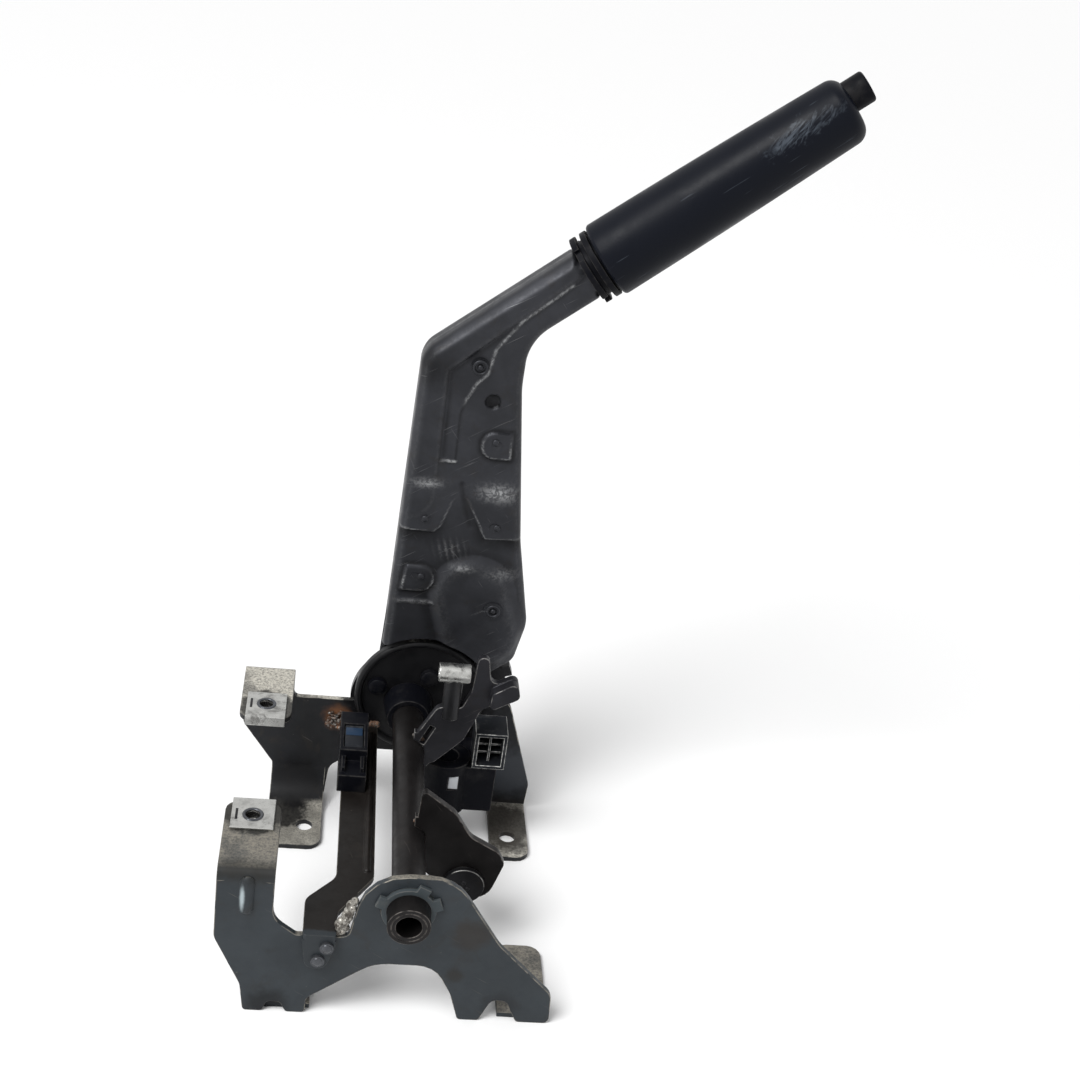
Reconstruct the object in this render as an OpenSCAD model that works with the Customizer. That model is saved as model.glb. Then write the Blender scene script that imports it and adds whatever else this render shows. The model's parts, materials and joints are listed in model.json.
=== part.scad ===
// Parking brake lever: a pressed steel lever on a cross tube that turns between two bolted-down brackets.
// +X points along the lever's reach, +Y along the cross tube, +Z up; the floor is z = 0.
// The origin is the middle of the four floor bolts.

/* [Floor and pivot] */
// Distance between the floor bolts along X
bolt_pitch_x = 110; // [100:1:125]
// Distance between the floor bolts along Y
bolt_pitch_y = 102; // [96:1:120]
// Diameter of the floor bolt holes
bolt_hole_d = 8.6; // [6.6:0.1:11]
// Height of the pivot axis above the floor
axis_h = 66; // [62:1:76]
// Pivot axis from the middle of the bolts, along X
axis_x = -5; // [-10:1:2]

/* [Brackets] */
// Thickness of the bracket sheet
sheet_t = 3; // [2:0.25:4]
// Floor bolt hole from the outer face of its bracket
hole_setback = 33; // [26:1:38]
// Length of a foot, from the outer face of its bracket
foot_len = 50; // [45:1:60]
// Centre of the console tabs from the pivot axis, along X
tab_reach = 74; // [70:1:84]
// Width of a console tab
tab_w = 26; // [24:1:32]
// Height of the console tabs' top face above the pivot axis
tab_h = 17; // [12:1:24]
// Length of a console tab, from the outer face of its bracket
tab_len = 50; // [46:1:60]
// Outer radius of the bend between a bracket and its console tab
bend_r = 6; // [4:0.5:8]
// Radius of the round head of the far bracket
head_r = 35; // [30:0.5:37]

/* [Cross strap] */
// Width of the strap
strap_w = 18; // [14:1:22]
// Centre of the strap from the pivot axis, along X
strap_reach = 24; // [22:0.5:28]
// Top face of the strap below the pivot axis
strap_drop = 15.5; // [13:0.5:20]
// Length of the lip that hangs over the near bracket
strap_lip = 20; // [16:1:24]

/* [Tube and bushes] */
// Outer diameter of the cross tube
tube_d = 16; // [14:0.5:18]
// Wall of the cross tube
tube_wall = 2; // [1.5:0.25:3]
// Length of tube that stands out of the near bracket
tube_nose = 12; // [8:1:20]
// Wall of the sleeve pressed on the tube's nose
sleeve_wall = 2; // [1.5:0.25:3]
// Wall of the plastic bushes
bush_wall = 2.5; // [2:0.25:3.5]
// Length of the far bush's collar in front of its bracket
collar_len = 15; // [10:1:20]

/* [Lever arm] */
// Depth of the lever arm across its two shells
lever_depth = 22; // [20:1:28]
// Thickness of the shell sheet
shell_t = 2; // [1.5:0.1:2.5]
// Radius of the drawn edge of a shell
edge_r = 5; // [4:0.25:6]
// Width of the arm where it enters the grip
arm_w = 24.6; // [22:0.2:27]
// Radius of the arm's round foot at the pivot
arm_foot_r = 20; // [18:0.5:24]
// Outer corner of the elbow from the pivot axis, along X
elbow_x = -12; // [-16:1:-8]
// Opening round the far bracket's head, radius
arch_r = 39; // [38:0.5:42]

/* [Grip] */
// Rear end of the grip from the pivot axis, along X
grip_x = 69.5; // [64:0.5:76]
// Rear end of the grip above the pivot axis
grip_z = 257; // [245:1:270]
// Angle of the grip above the floor
grip_angle = 40; // [36:1:44]
// Length of the grip
grip_len = 134; // [128:1:150]
// Diameter of the grip at its rear end
grip_rear_d = 37.4; // [36:0.2:42]
// Diameter of the grip at its front end
grip_front_d = 32.5; // [32:0.2:38]
// Wall of the plastic sleeve under the grip
grip_core_wall = 1.7; // [1.4:0.1:2.2]

/* [Release button] */
// Diameter of the button
button_d = 15.6; // [13:0.2:16]
// Length of button that stands out of the grip
button_out = 10; // [8:0.5:14]
// Travel of the button
button_travel = 5; // [3:0.5:6]
// Height of the button's axis above the grip's axis
button_rise = 4.4; // [2:0.2:4.6]
// Diameter of the release rod
rod_d = 4; // [3:0.25:4.5]

/* [Ratchet] */
// Thickness of the ratchet sector and of the pawl
sector_t = 4; // [3:0.25:5]
// Radius at the tips of the ratchet teeth
tooth_r = 54; // [52:0.5:56]
// Angle between two ratchet teeth
tooth_pitch = 3; // [2.5:0.5:4]
// Height of a ratchet tooth
tooth_h = 2.6; // [1.5:0.1:3]
// Distance from the pawl's pin to its release horn
horn_len = 13; // [12:0.5:14]
// Pawl pin from the pivot axis, along X
pawl_x = 38; // [37:0.5:39]
// Pawl pin above the pivot axis
pawl_z = 66; // [65:0.5:68]
// Diameter of the pawl pin
pawl_pin_d = 8; // [6:0.5:9]

/* [Cranks] */
// Thickness of the crank plates
crank_t = 4; // [3:0.25:5]
// Pull arm's front face from the far bracket's outer face
pull_setback = 48; // [44:1:54]
// Diameter of the pull arm's stud
stud_d = 9.4; // [8:0.2:10]
// Diameter of the stud's cross barrel
barrel_d = 10; // [9:0.5:12]
// Length of the stud's cross barrel
barrel_len = 16; // [14:1:22]
// Lower crank's front face from the near bracket's outer face
crank_setback = 50; // [44:1:60]
// Cable pin from the pivot axis, along X
cable_pin_x = 29; // [26:1:34]
// Cable pin below the pivot axis
cable_pin_drop = 25; // [22:1:28]
// Diameter of the cable pin
cable_pin_d = 10; // [8:0.5:11]
// Free length of the cable pin behind its crank
cable_pin_len = 19; // [14:1:22]

/* [Hidden] */
$fn = 64;
eps = 0.01;
fit = 0.03;
run_gap = 0.06;
free_gap = 0.35;
arc_steps = 4;
least_r = 0.4;

near_y = -bolt_pitch_y / 2 - hole_setback;
far_y = bolt_pitch_y / 2 + hole_setback;
far_front = far_y - sheet_t;
left_x = -bolt_pitch_x / 2 - axis_x;
right_x = bolt_pitch_x / 2 - axis_x;
floor_z = -axis_h;
strap_z = -strap_drop;
strap_x = -strap_reach;
tab_x = -tab_reach;

tube_r = tube_d / 2;
sleeve_r = tube_r + sleeve_wall;
near_bush_r = sleeve_r + run_gap + bush_wall;
far_bush_r = tube_r + run_gap + bush_wall;

lever_y = far_y + sector_t / 2;
lever_half = lever_depth / 2;
arm_half = arm_w / 2;
tongue_half = 9;
tongue_start = -10;
tongue_len = grip_len - 36;
core_in_r = 12.6;
core_r = core_in_r + grip_core_wall;
slot_half = sector_t / 2 + 0.8;
slot_top = pawl_z + 10;

button_r = button_d / 2;
seat_t = 2;
spring_len = 10;
spring_wire = 1.1;
spring_turns = 4;
button_back = tongue_len + seat_t + spring_len;
button_tip = grip_len + button_out;
rod_r = rod_d / 2;
rod_rise = 4;
rod_y = sector_t / 2 + rod_r + 0.5;
rod_bend = -55;
pawl_turn = button_travel / horn_len * 180 / PI;
horn_angle = grip_angle + 90 - pawl_turn / 2;
pawl_tip_angle = 45;

pull_y = far_y - pull_setback;
crank_y = near_y + crank_setback;
stud_x = 19;
stud_foot_z = 23;
barrel_z = 49.5;
arm_top_z = 29.5;
stud_spigot_r = 3;
foot_sweep_r = 19;
head_x = 6;
rim_r = 2;
head_z = 5;

// Sizes of the clip nuts on the console tabs
clip_t = 1.2;
clip_w = 20;
clip_len = 21;
clip_inset = 11;
clip_hole_d = 7;
clip_thread_d = 5;
clip_nut_d = 10;
clip_nut_h = 5;

strap_rivet_r = 2.2;
strap_rivet_head = 1.5;

sector_from = 24;
sector_to = 87;
sector_rivet_r = 3;
sector_rivet_head = 2;
sector_hub_r = 31;
sector_rivet_ring = 20;
stop_back = 3.4;

switch_w = 14.5;
switch_len = 47;
switch_h = 17;
switch_nose = 13;

guide_r = 12.5;
guide_x = 22;
guide_y = far_front - 28;
guide_top = -12;
guide_h = 32;
guide_bore_d = 12;

socket_w = 17;
socket_l = 18;
socket_h = 22;

panel_drop = 1.6;
band_r = 6.6;
pad_rise = 1.1;
pad_foot = 0.15;
boss_rise = 2.4;
boss_r = 19;
panel_half = lever_half - panel_drop;
rivet_place = [16, 201];
dimple_place = [24.4, 182.6];
dimple_r = 4.2;

shell_rivet_r = 2.5;
rivet_head_h = 1.2;

pin_head_t = 3;
pin_head_r = 10.3;
pin_spigot_r = cable_pin_d / 2 - 1;

rod_knuckle = 0.25;

// Unit vector of a 2D vector
function unit(v) = v / norm(v);
// 2D vector turned by an angle
function turned(v, a) = [v[0] * cos(a) - v[1] * sin(a), v[0] * sin(a) + v[1] * cos(a)];
// Point of a circle about the pivot axis
function polar(r, a) = [r * cos(a), r * sin(a)];
// Place along the grip's axis (s) and above it (p), from the pivot axis
function on_grip(s, p) = [grip_x, grip_z] + turned([s, p], grip_angle);
// Corner with a rounding radius
function corner(p, r) = [p[0], p[1], r];

// Arc that rounds the corner between a, p and b, moved inwards by inset; the outline runs anticlockwise
function round_corner(a, p, b, inset, steps) =
    let (d1 = unit([p[0] - a[0], p[1] - a[1]]),
         d2 = unit([b[0] - p[0], b[1] - p[1]]),
         n1 = [-d1[1], d1[0]],
         n2 = [-d2[1], d2[0]],
         side = cross(d1, d2) >= 0 ? 1 : -1,
         turn = acos(max(-1, min(1, d1 * d2))),
         v = [p[0], p[1]] + inset * (n1 + n2) / (1 + n1 * n2),
         r = side > 0 ? max(p[2] - inset, least_r) : p[2] + min(inset, p[2]),
         start = v - d1 * r * tan(turn / 2),
         centre = start + side * r * n1)
    [for (k = [0:steps]) centre + turned(start - centre, side * turn * k / steps)];

// Closed outline with round corners from [x, z, radius] corners
function outline(pts, inset = 0, steps = arc_steps) =
    let (n = len(pts))
    [for (i = [0:n - 1]) each round_corner(pts[(i + n - 1) % n], pts[i], pts[(i + 1) % n], inset, steps)];

// Solid skinned over outlines of equal length, given as [height, points]
module skin(levels) {
    n = len(levels[0][1]);
    m = len(levels);
    points = [for (l = levels) for (p = l[1]) [p[0], p[1], l[0]]];
    sides = [for (j = [0:m - 2], i = [0:n - 1])
        let (a = j * n + i, b = j * n + (i + 1) % n)
        each [[a, a + n, b + n], [a, b + n, b]]];
    bottom = [[for (i = [0:n - 1]) i]];
    top = [[for (i = [n - 1:-1:0]) (m - 1) * n + i]];
    polyhedron(points, concat(bottom, sides, top), convexity = 8);
}

// Heights and insets of a quarter-round edge that ends in a face
function edge_levels(pts, depth, edge, base, steps) =
    [for (k = [0:steps]) let (a = 90 * k / steps)
        [depth - edge + edge * sin(a), outline(pts, base + edge * (1 - cos(a)))]];

// Drawn tray: its inner face, inner wall, rim, outer wall and outer face as one skin
module tray(pts, depth, edge, wall, steps = 3) {
    inner = edge_levels(pts, depth - wall, edge - wall, wall, steps);
    skin(concat([for (k = [steps:-1:0]) inner[k]], [[0, outline(pts, wall)], [0, outline(pts)]],
                edge_levels(pts, depth, edge, 0, steps)));
}

// Moves what is drawn to the pivot axis
module at_axis(y = 0) {
    translate([axis_x, y, axis_h]) children();
}

// Stands an outline drawn from the pivot axis upright, from y to y + t
module upright(y, t) {
    at_axis(y + t) rotate([90, 0, 0]) linear_extrude(t) children();
}

// Round bar along Y at a place from the pivot axis
module bar(p, r, y, l) {
    at_axis(y) translate([p[0], 0, p[1]]) rotate([-90, 0, 0]) cylinder(r = r, h = l);
}

// Frame with its z axis along the grip, x downwards from it, and its origin at the grip's rear end
module along_grip() {
    at_axis(lever_y) translate([grip_x, 0, grip_z]) rotate([0, 90 - grip_angle, 0]) children();
}

// Long bead with round ends, from one point to another
module bead(a, b, r) {
    d = b - a;
    translate(a) sphere(r);
    translate(b) sphere(r);
    translate(a) rotate([0, acos(d[2] / norm(d)), atan2(d[1], d[0])]) cylinder(r = r, h = norm(d));
}

// Console tab that leaves the outer face and bends over; drawn from the outer face towards +Y
module console_tab() {
    r_in = bend_r - sheet_t;
    translate([tab_x - tab_w / 2, bend_r, tab_h - bend_r]) rotate([90, 0, 90])
        linear_extrude(tab_w) intersection() {
            difference() {
                circle(bend_r);
                circle(r_in);
            }
            translate([-bend_r, 0]) square(bend_r);
        }
    translate([0, 0, tab_h - sheet_t]) linear_extrude(sheet_t) difference() {
        polygon(outline([[tab_x - tab_w / 2, bend_r, 0.1], [tab_x + tab_w / 2, bend_r, 0.1],
                         [tab_x + tab_w / 2, tab_len, 6], [tab_x - tab_w / 2, tab_len, 6]]));
        translate([tab_x, tab_len - clip_inset]) circle(clip_hole_d / 2);
    }
}

// Foot that lies on the floor behind the outer face, with its bolt hole
module foot(x0, x1, hole_x) {
    translate([0, 0, floor_z]) linear_extrude(sheet_t) difference() {
        polygon(outline([[x0, sheet_t - eps, 0.1], [x1, sheet_t - eps, 0.1],
                         [x1, foot_len, 7], [x0, foot_len, 7]]));
        translate([hole_x, hole_setback]) circle(bolt_hole_d / 2);
    }
}

// Hollow sweep from the plate down to a foot
module foot_sweep(x0, x1) {
    r = foot_sweep_r;
    translate([x0, sheet_t - eps, floor_z + sheet_t - eps]) rotate([90, 0, 90]) linear_extrude(x1 - x0)
        difference() {
            square(r);
            translate([r, r]) circle(r);
        }
}

// Outline of the near bracket from the pivot axis
function near_outline() = [
    [left_x - 22, floor_z, 2], [left_x - 13, floor_z, 2], [left_x - 11, floor_z + 6, 2],
    [left_x - 5, floor_z + 6, 2], [left_x - 2, floor_z, 2], [left_x + 7, floor_z, 2],
    [left_x + 7, floor_z + 9, 5], [-13, -33.5, 20], [15, -33.5, 14], [right_x - 36, floor_z + 16, 8],
    [right_x - 31, floor_z, 2], [right_x - 21, floor_z, 2], [right_x - 16, floor_z + 13, 4],
    [right_x - 9, floor_z + 13, 4], [right_x - 3, floor_z, 3], [right_x + 13, floor_z, 3],
    [right_x + 12, floor_z + 18, 8], [44, -19, 30], [20, 18.5, 22], [-20, 18.5, 22],
    [strap_x - 2, strap_z - sheet_t, 4], [-50, strap_z - sheet_t, 3], [tab_x + tab_w / 2, -10, 12],
    [tab_x + tab_w / 2, tab_h - bend_r, 0.1], [tab_x - tab_w / 2, tab_h - bend_r, 0.1],
    [tab_x - tab_w / 2, -22, 10], [left_x - 24, floor_z + 16, 10]];

// Outline of the far bracket's legs and arm from the pivot axis
function far_outline() = [
    [left_x - 20, floor_z, 2], [left_x + 9, floor_z, 2], [left_x + 11, floor_z + 21, 8],
    [-20, -32, 12], [22, -32, 12], [right_x - 14, floor_z + 20, 8], [right_x - 10, floor_z, 2],
    [right_x + 11, floor_z, 2], [right_x + 12, floor_z + 16, 6], [right_x - 5, 4, 8], [30, 12, 6],
    [-20, 12, 6], [-28, -1, 6], [tab_x + tab_w / 2, -1, 3],
    [tab_x + tab_w / 2, tab_h - bend_r, 0.1], [tab_x - tab_w / 2, tab_h - bend_r, 0.1],
    [tab_x - tab_w / 2, -20, 8], [left_x - 18, floor_z + 18, 10]];

// Pressed near bracket: plate, console tab, two feet and stiffening beads
module near_bracket() color("slategray") {
    difference() {
        upright(near_y, sheet_t) polygon(outline(near_outline()));
        bar([0, 0], near_bush_r + fit, near_y - 1, sheet_t + 2);
    }
    at_axis(near_y) {
        console_tab();
        foot(left_x - 22, left_x + 9, left_x);
        foot(right_x - 12, right_x + 12, right_x);
        intersection() {
            bead([tab_x + 1, 2, -4], [tab_x + 1, 2, tab_h - bend_r], 4);
            translate([tab_x - tab_w / 2, -5, -20]) cube([tab_w, 5 + eps, 40]);
        }
    }
}

// Pressed far bracket: plate with a round drawn head, console tab, feet and a gusset
module far_bracket() color("dimgray") {
    difference() {
        union() {
            upright(far_front, sheet_t) polygon(outline(far_outline()));
            bar([head_x, head_z], head_r, far_front, sheet_t);
            at_axis(far_front) translate([head_x, 0, head_z]) rotate([90, 0, 0])
                rotate_extrude() translate([head_r - rim_r, 0]) intersection() {
                    circle(rim_r);
                    translate([-rim_r, -eps]) square([2 * rim_r, rim_r]);
                }
        }
        bar([0, 0], far_bush_r + fit, far_front - 5, sheet_t + 10);
        for (p = sector_rivet_places())
            bar(p, sector_rivet_r + fit, far_front - 5, sheet_t + 10);
    }
    at_axis(far_y) mirror([0, 1, 0]) {
        console_tab();
        foot(left_x - 20, left_x + 9, left_x);
        foot(right_x - 10, right_x + 11, right_x);
        foot_sweep(left_x - 20, left_x + 9);
    }
}

// Room in front of the far bracket for the rim of its round head
module rim_room() {
    bar([head_x, head_z], head_r + free_gap, far_front - rim_r - free_gap, rim_r + free_gap + 1);
}

// Flat strap that ties the brackets, with a lip over the near one and a bead along it
module cross_strap() color("sienna") {
    half = strap_w / 2;
    lip_x = strap_x - half - 14;
    lip_end = strap_x - 7.6;
    bead_x = strap_x + half - 3.5;
    difference() {
        at_axis() translate([0, 0, strap_z - sheet_t]) linear_extrude(sheet_t)
            polygon(outline([[lip_x, near_y - sheet_t, 2], [lip_end, near_y - sheet_t, 1],
                             [lip_end, near_y + 13, 6], [strap_x + half, near_y + 39, 8],
                             [strap_x + half, far_front, 4], [strap_x - half, far_front, 0.1],
                             [strap_x - half, near_y + 38, 10], [lip_x, near_y + 22, 8]]));
        rim_room();
    }
    at_axis() {
        translate([0, near_y, strap_z - sheet_t]) rotate([90, 0, 0]) linear_extrude(sheet_t)
            difference() {
                polygon(outline([[lip_x + 2, sheet_t - strap_lip, 5], [lip_end - 4, sheet_t - strap_lip, 5],
                                 [lip_end, -3, 3], [lip_end, eps, 0.1], [lip_x, eps, 0.1]]));
                for (p = strap_rivet_places())
                    translate([p[0], p[1] - strap_z + sheet_t]) circle(strap_rivet_r + fit);
            }
        bead([bead_x, near_y + 44, strap_z - 0.5], [bead_x, far_front - 10, strap_z - 0.5], 2);
    }
}

// Places of the two rivets in the strap's lip
function strap_rivet_places() = [[strap_x - 11.5, strap_z - 6.5], [strap_x - 15.2, strap_z - 14.5]];

// Flush rivets through the strap's lip, with flat heads
module strap_rivets() color("silver") {
    for (p = strap_rivet_places()) {
        bar(p, strap_rivet_r, near_y - sheet_t, sheet_t - eps);
        bar(p, strap_rivet_r + 1, near_y - sheet_t - strap_rivet_head, strap_rivet_head);
    }
}

// Spring clip with a threaded barrel, folded over the end of a console tab
module clip_nut() color("silver") {
    top = tab_h;
    low = tab_h - sheet_t;
    end = tab_len;
    back = end - clip_len;
    difference() {
        union() {
            translate([tab_x - clip_w / 2, back, top]) cube([clip_w, clip_len + clip_t, clip_t]);
            translate([tab_x - clip_w / 2, end, low - clip_t]) cube([clip_w, clip_t, sheet_t + 2 * clip_t]);
            translate([tab_x - clip_w / 2, back, low - clip_t]) cube([clip_w, clip_len + clip_t, clip_t]);
            translate([tab_x, end - clip_inset, low - clip_t - clip_nut_h])
                cylinder(d = clip_nut_d, h = clip_nut_h + eps);
        }
        translate([tab_x, end - clip_inset, low - clip_t - clip_nut_h - 1])
            cylinder(d = clip_thread_d, h = clip_nut_h + clip_t + 1 + eps);
        translate([tab_x, end - clip_inset, top - 1]) cylinder(d = clip_hole_d, h = clip_t + 2);
    }
}

module near_clip_nut() at_axis(near_y) clip_nut();
module far_clip_nut() at_axis(far_y) mirror([0, 1, 0]) clip_nut();

// Plastic bush snapped into the near bracket, with a flange behind and three lugs in front
module near_bush() color("lightsteelblue") {
    flange_t = 2;
    lug_t = 2;
    difference() {
        union() {
            bar([0, 0], near_bush_r, near_y - lug_t, sheet_t + lug_t + flange_t);
            bar([0, 0], near_bush_r + 3, near_y + sheet_t, flange_t);
            for (a = [20, 65, 160])
                at_axis(near_y) rotate([0, -a, 0])
                    translate([near_bush_r - 1, -lug_t, -3]) cube([4, lug_t, 6]);
        }
        bar([0, 0], sleeve_r + run_gap, near_y - lug_t - 1, sheet_t + lug_t + flange_t + 2);
    }
}

// Plastic bush in the far bracket, with a long tapered collar in front
module far_bush() color("dimgray") {
    difference() {
        union() {
            bar([0, 0], far_bush_r, far_front - eps, sheet_t);
            at_axis(far_front) rotate([90, 0, 0])
                cylinder(r1 = far_bush_r + 2.5, r2 = far_bush_r + 0.5, h = collar_len);
        }
        bar([0, 0], tube_r + run_gap, far_front - collar_len - 1, collar_len + sheet_t + 2);
    }
}

// Places of the rivets that hold the sector on the far bracket
function sector_rivet_places() = [for (a = [-30, 60, 150]) polar(sector_rivet_ring, a)];

// Toothed sector fixed behind the far bracket's head, with the lever's stop lug at its lower end
module ratchet_sector() color("gray") {
    root_r = tooth_r - tooth_h;
    count = floor((sector_to - sector_from) / tooth_pitch);
    teeth = [for (i = [0:count - 1]) let (a = sector_from + i * tooth_pitch)
        each [polar(root_r, a), polar(tooth_r, a + tooth_pitch * 0.15),
              polar(tooth_r, a + tooth_pitch * 0.3)]];
    difference() {
        union() {
            upright(far_y, sector_t) {
                polygon(concat([[0, 0]], teeth, [polar(root_r, sector_from + count * tooth_pitch)]));
                polygon([[0, 0], polar(sector_hub_r, sector_from - 70), polar(tooth_r, sector_from - 10),
                         polar(tooth_r, sector_from)]);
                circle(sector_hub_r);
            }
            at_axis(far_y) rotate([0, stop_back - sector_from, 0])
                translate([tooth_r - 10, 0, 0]) cube([14, sector_t + 3, 6]);
        }
        bar([0, 0], far_bush_r + 2, far_y - 1, sector_t + 6);
        for (p = sector_rivet_places())
            bar(p, sector_rivet_r + fit, far_y - 1, sector_t + 2);
    }
}

// Rivets that hold the sector, with round heads in front
module sector_rivets() color("silver") {
    for (p = sector_rivet_places()) {
        bar(p, sector_rivet_r, far_front - eps, sheet_t + sector_t);
        bar(p, sector_rivet_r + 2, far_front - sector_rivet_head, sector_rivet_head);
    }
}

// Closed warning-lamp switch that sits on the strap, with a stepped top and a latch window
module warning_switch() color("black") at_axis() translate([strap_x - 11.3, far_front - 61, strap_z]) {
    nose_h = switch_h * 0.6;
    rib_w = 2;
    difference() {
        union() {
            cube([switch_w, switch_len, nose_h]);
            translate([0, switch_nose, 0]) cube([switch_w, switch_len - switch_nose, switch_h]);
            for (x = [1.5, switch_w - 1.5 - rib_w])
                translate([x, 3, 0]) cube([rib_w, switch_nose, nose_h + 3]);
        }
        translate([2.2, switch_nose + 3, switch_h - 2]) cube([switch_w - 4.4, 20, 4]);
        translate([-1, switch_nose + 22, 5]) cube([3, 8, 6]);
    }
}

// Plastic guide for the brake cable's conduit, held on the far bracket
module cable_guide() color("black") {
    difference() {
        union() {
            at_axis() translate([guide_x, guide_y, guide_top - guide_h]) cylinder(r = guide_r, h = guide_h);
            at_axis() translate([guide_x, guide_y - 8, guide_top - guide_h + 2])
                cube([26, 16, guide_h - 4]);
            at_axis() translate([guide_x - 4, guide_y, guide_top - guide_h + 6])
                cube([20, far_front - guide_y, guide_h - 14]);
        }
        at_axis() translate([guide_x, guide_y, guide_top - guide_h - 1])
            cylinder(d = guide_bore_d, h = guide_h + 2);
        at_axis() translate([guide_x + 1, guide_y - guide_r - 1, guide_top - 14]) cube([5.5, 3.5, 8]);
        rim_room();
    }
}

// Square socket that clips on the cable guide's side, open towards the front and top
module cable_guide_socket() color("dimgray") {
    wall = 2;
    at_axis() translate([guide_x + guide_r + 0.3, guide_y - 8, guide_top - 2]) difference() {
        cube([socket_w, socket_l, socket_h]);
        translate([wall, -1, wall]) cube([socket_w - 2 * wall, socket_l - wall, socket_h - 2 * wall]);
    }
    at_axis() translate([guide_x + guide_r + 0.3, guide_y - 8, guide_top - 2]) {
        for (z = [6, 11, 16])
            translate([wall - eps, 6, z]) cube([socket_w - 2 * wall + 2 * eps, socket_l - 8, 1.2]);
        translate([socket_w / 2 - 0.6, 4, wall - eps])
            cube([1.2, socket_l - 6, socket_h - 2 * wall + 2 * eps]);
    }
}

// Cross tube that carries the lever and its cranks
module pivot_tube() color("dimgray") difference() {
    length = lever_y + panel_half - near_y + tube_nose;
    bar([0, 0], tube_r, near_y - tube_nose, length);
    bar([0, 0], tube_r - tube_wall, near_y - tube_nose - 1, length + 2);
}

// Sleeve pressed on the tube's nose, which runs in the near bush
module pivot_sleeve() color("slategray") difference() {
    bar([0, 0], sleeve_r, near_y - tube_nose, tube_nose + sheet_t + 8);
    bar([0, 0], tube_r + fit, near_y - tube_nose - 1, tube_nose + sheet_t + 10);
}

// Outline of the lever arm from the pivot axis, with the tongue that carries the grip
function lever_outline() = [
    [-arm_foot_r, -arm_foot_r, arm_foot_r - 0.1], [arm_foot_r, -arm_foot_r, arm_foot_r - 0.1],
    [arm_foot_r, 6, 10], [53, 33, 9], [57.5, 56, 20], [48, 105, 60], [38, 190, 60],
    corner(on_grip(-51, -arm_half), 26), corner(on_grip(tongue_start, -arm_half), 2),
    corner(on_grip(tongue_start, -tongue_half), 0.5), corner(on_grip(tongue_len, -tongue_half), 1),
    corner(on_grip(tongue_len, tongue_half), 1), corner(on_grip(tongue_start, tongue_half), 0.5),
    corner(on_grip(tongue_start, arm_half), 2), corner(elbow_corner(), 15), [-16.5, 50, 20],
    [-17.5, 30, 10]];
// Outer corner of the elbow, where the arm's left edge meets the grip arm's upper edge
function elbow_corner() =
    let (s = (elbow_x - grip_x + arm_half * sin(grip_angle)) / cos(grip_angle))
    on_grip(s, arm_half);

// Cuts the room in which the sector and the pawl run between the shells, below the pawl
module sector_room() {
    at_axis(lever_y) translate([-60, -slot_half, -60]) cube([160, 2 * slot_half, 60 + slot_top - 18.7]);
}

// Hole in the face of a shell at a place from the pivot axis
module face_hole(p, d) {
    bar(p, d / 2, lever_y - lever_half - 6, lever_half + 6);
}

// Raised pad with chamfered sides on a shell's face, drawn from the mid plane
module pad(pts, rise) {
    sunk = shell_t / 2;
    translate([0, 0, panel_half - sunk]) hull() {
        linear_extrude(sunk + pad_foot) polygon(outline(pts));
        linear_extrude(sunk + rise) polygon(outline(pts, rise));
    }
}

// Raised round spot with a chamfered edge on a shell's face
module spot(p, r, rise) {
    sunk = shell_t / 2;
    translate([p[0], p[1], panel_half - sunk]) {
        cylinder(r = r, h = sunk + pad_foot, $fn = 28);
        cylinder(r = r - rise, h = sunk + rise, $fn = 28);
    }
}

// Stretch of the raised band between two places on a shell's face
module band(a, b, r, rise) hull() {
    spot(a, r, rise);
    spot(b, r, rise);
}

// Relief of a shell: a band along its outer edge, the pawl's boss and four clinched tabs
module shell_relief() {
    low = [-2.5, 148];
    waist = [-1.8, 188];
    turn = on_grip(-82, 4);
    top = on_grip(-20.3, 3.7);
    band(low, waist, band_r - 0.4, panel_drop - 0.2);
    band(waist, turn, band_r, panel_drop - 0.1);
    band(turn, top, band_r - 0.6, panel_drop);
    translate([pawl_x - 5, pawl_z - 1, panel_half - shell_t / 2]) hull() {
        cylinder(r = boss_r, h = shell_t / 2 + boss_rise / 2);
        cylinder(r = boss_r - 2.5, h = shell_t / 2 + boss_rise);
    }
    pad([[21, 152, 7], [36, 152, 1], [36, 168, 1], [21, 168, 7]], pad_rise);
    pad([[-12, 74, 1], [4, 74, 7], [4, 90, 7], [-12, 90, 1]], pad_rise);
    pad([[-11, 108, 1], [5, 108, 3], [5, 122, 3], [-11, 122, 1]], pad_rise);
    pad([[25, 106, 3], [41.5, 106, 2], [40, 121, 2], [25, 121, 3]], pad_rise);
}

// Pressed half of the lever arm with its relief, drawn from the mid plane
module half_shell() {
    tray(lever_outline(), panel_half, edge_r, shell_t);
    shell_relief();
}

// Near shell: cut away round the far bracket's head
module lever_shell_near() color("gray") {
    difference() {
        at_axis(lever_y) rotate([90, 0, 0]) half_shell();
        bar([head_x, head_z], arch_r, lever_y - lever_half - 8, lever_half + 10);
        at_axis(lever_y - 20) translate([-40, 0, -60]) cube([100, 40, 60 + head_z]);
        sector_room();
        bar(dimple_place, dimple_r, lever_y - panel_half - 3, 3 + shell_t / 2);
        face_hole(rivet_place, 2 * shell_rivet_r + 2 * fit);
        face_hole([pawl_x, pawl_z], pawl_pin_d + 2 * fit);
    }
}

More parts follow.
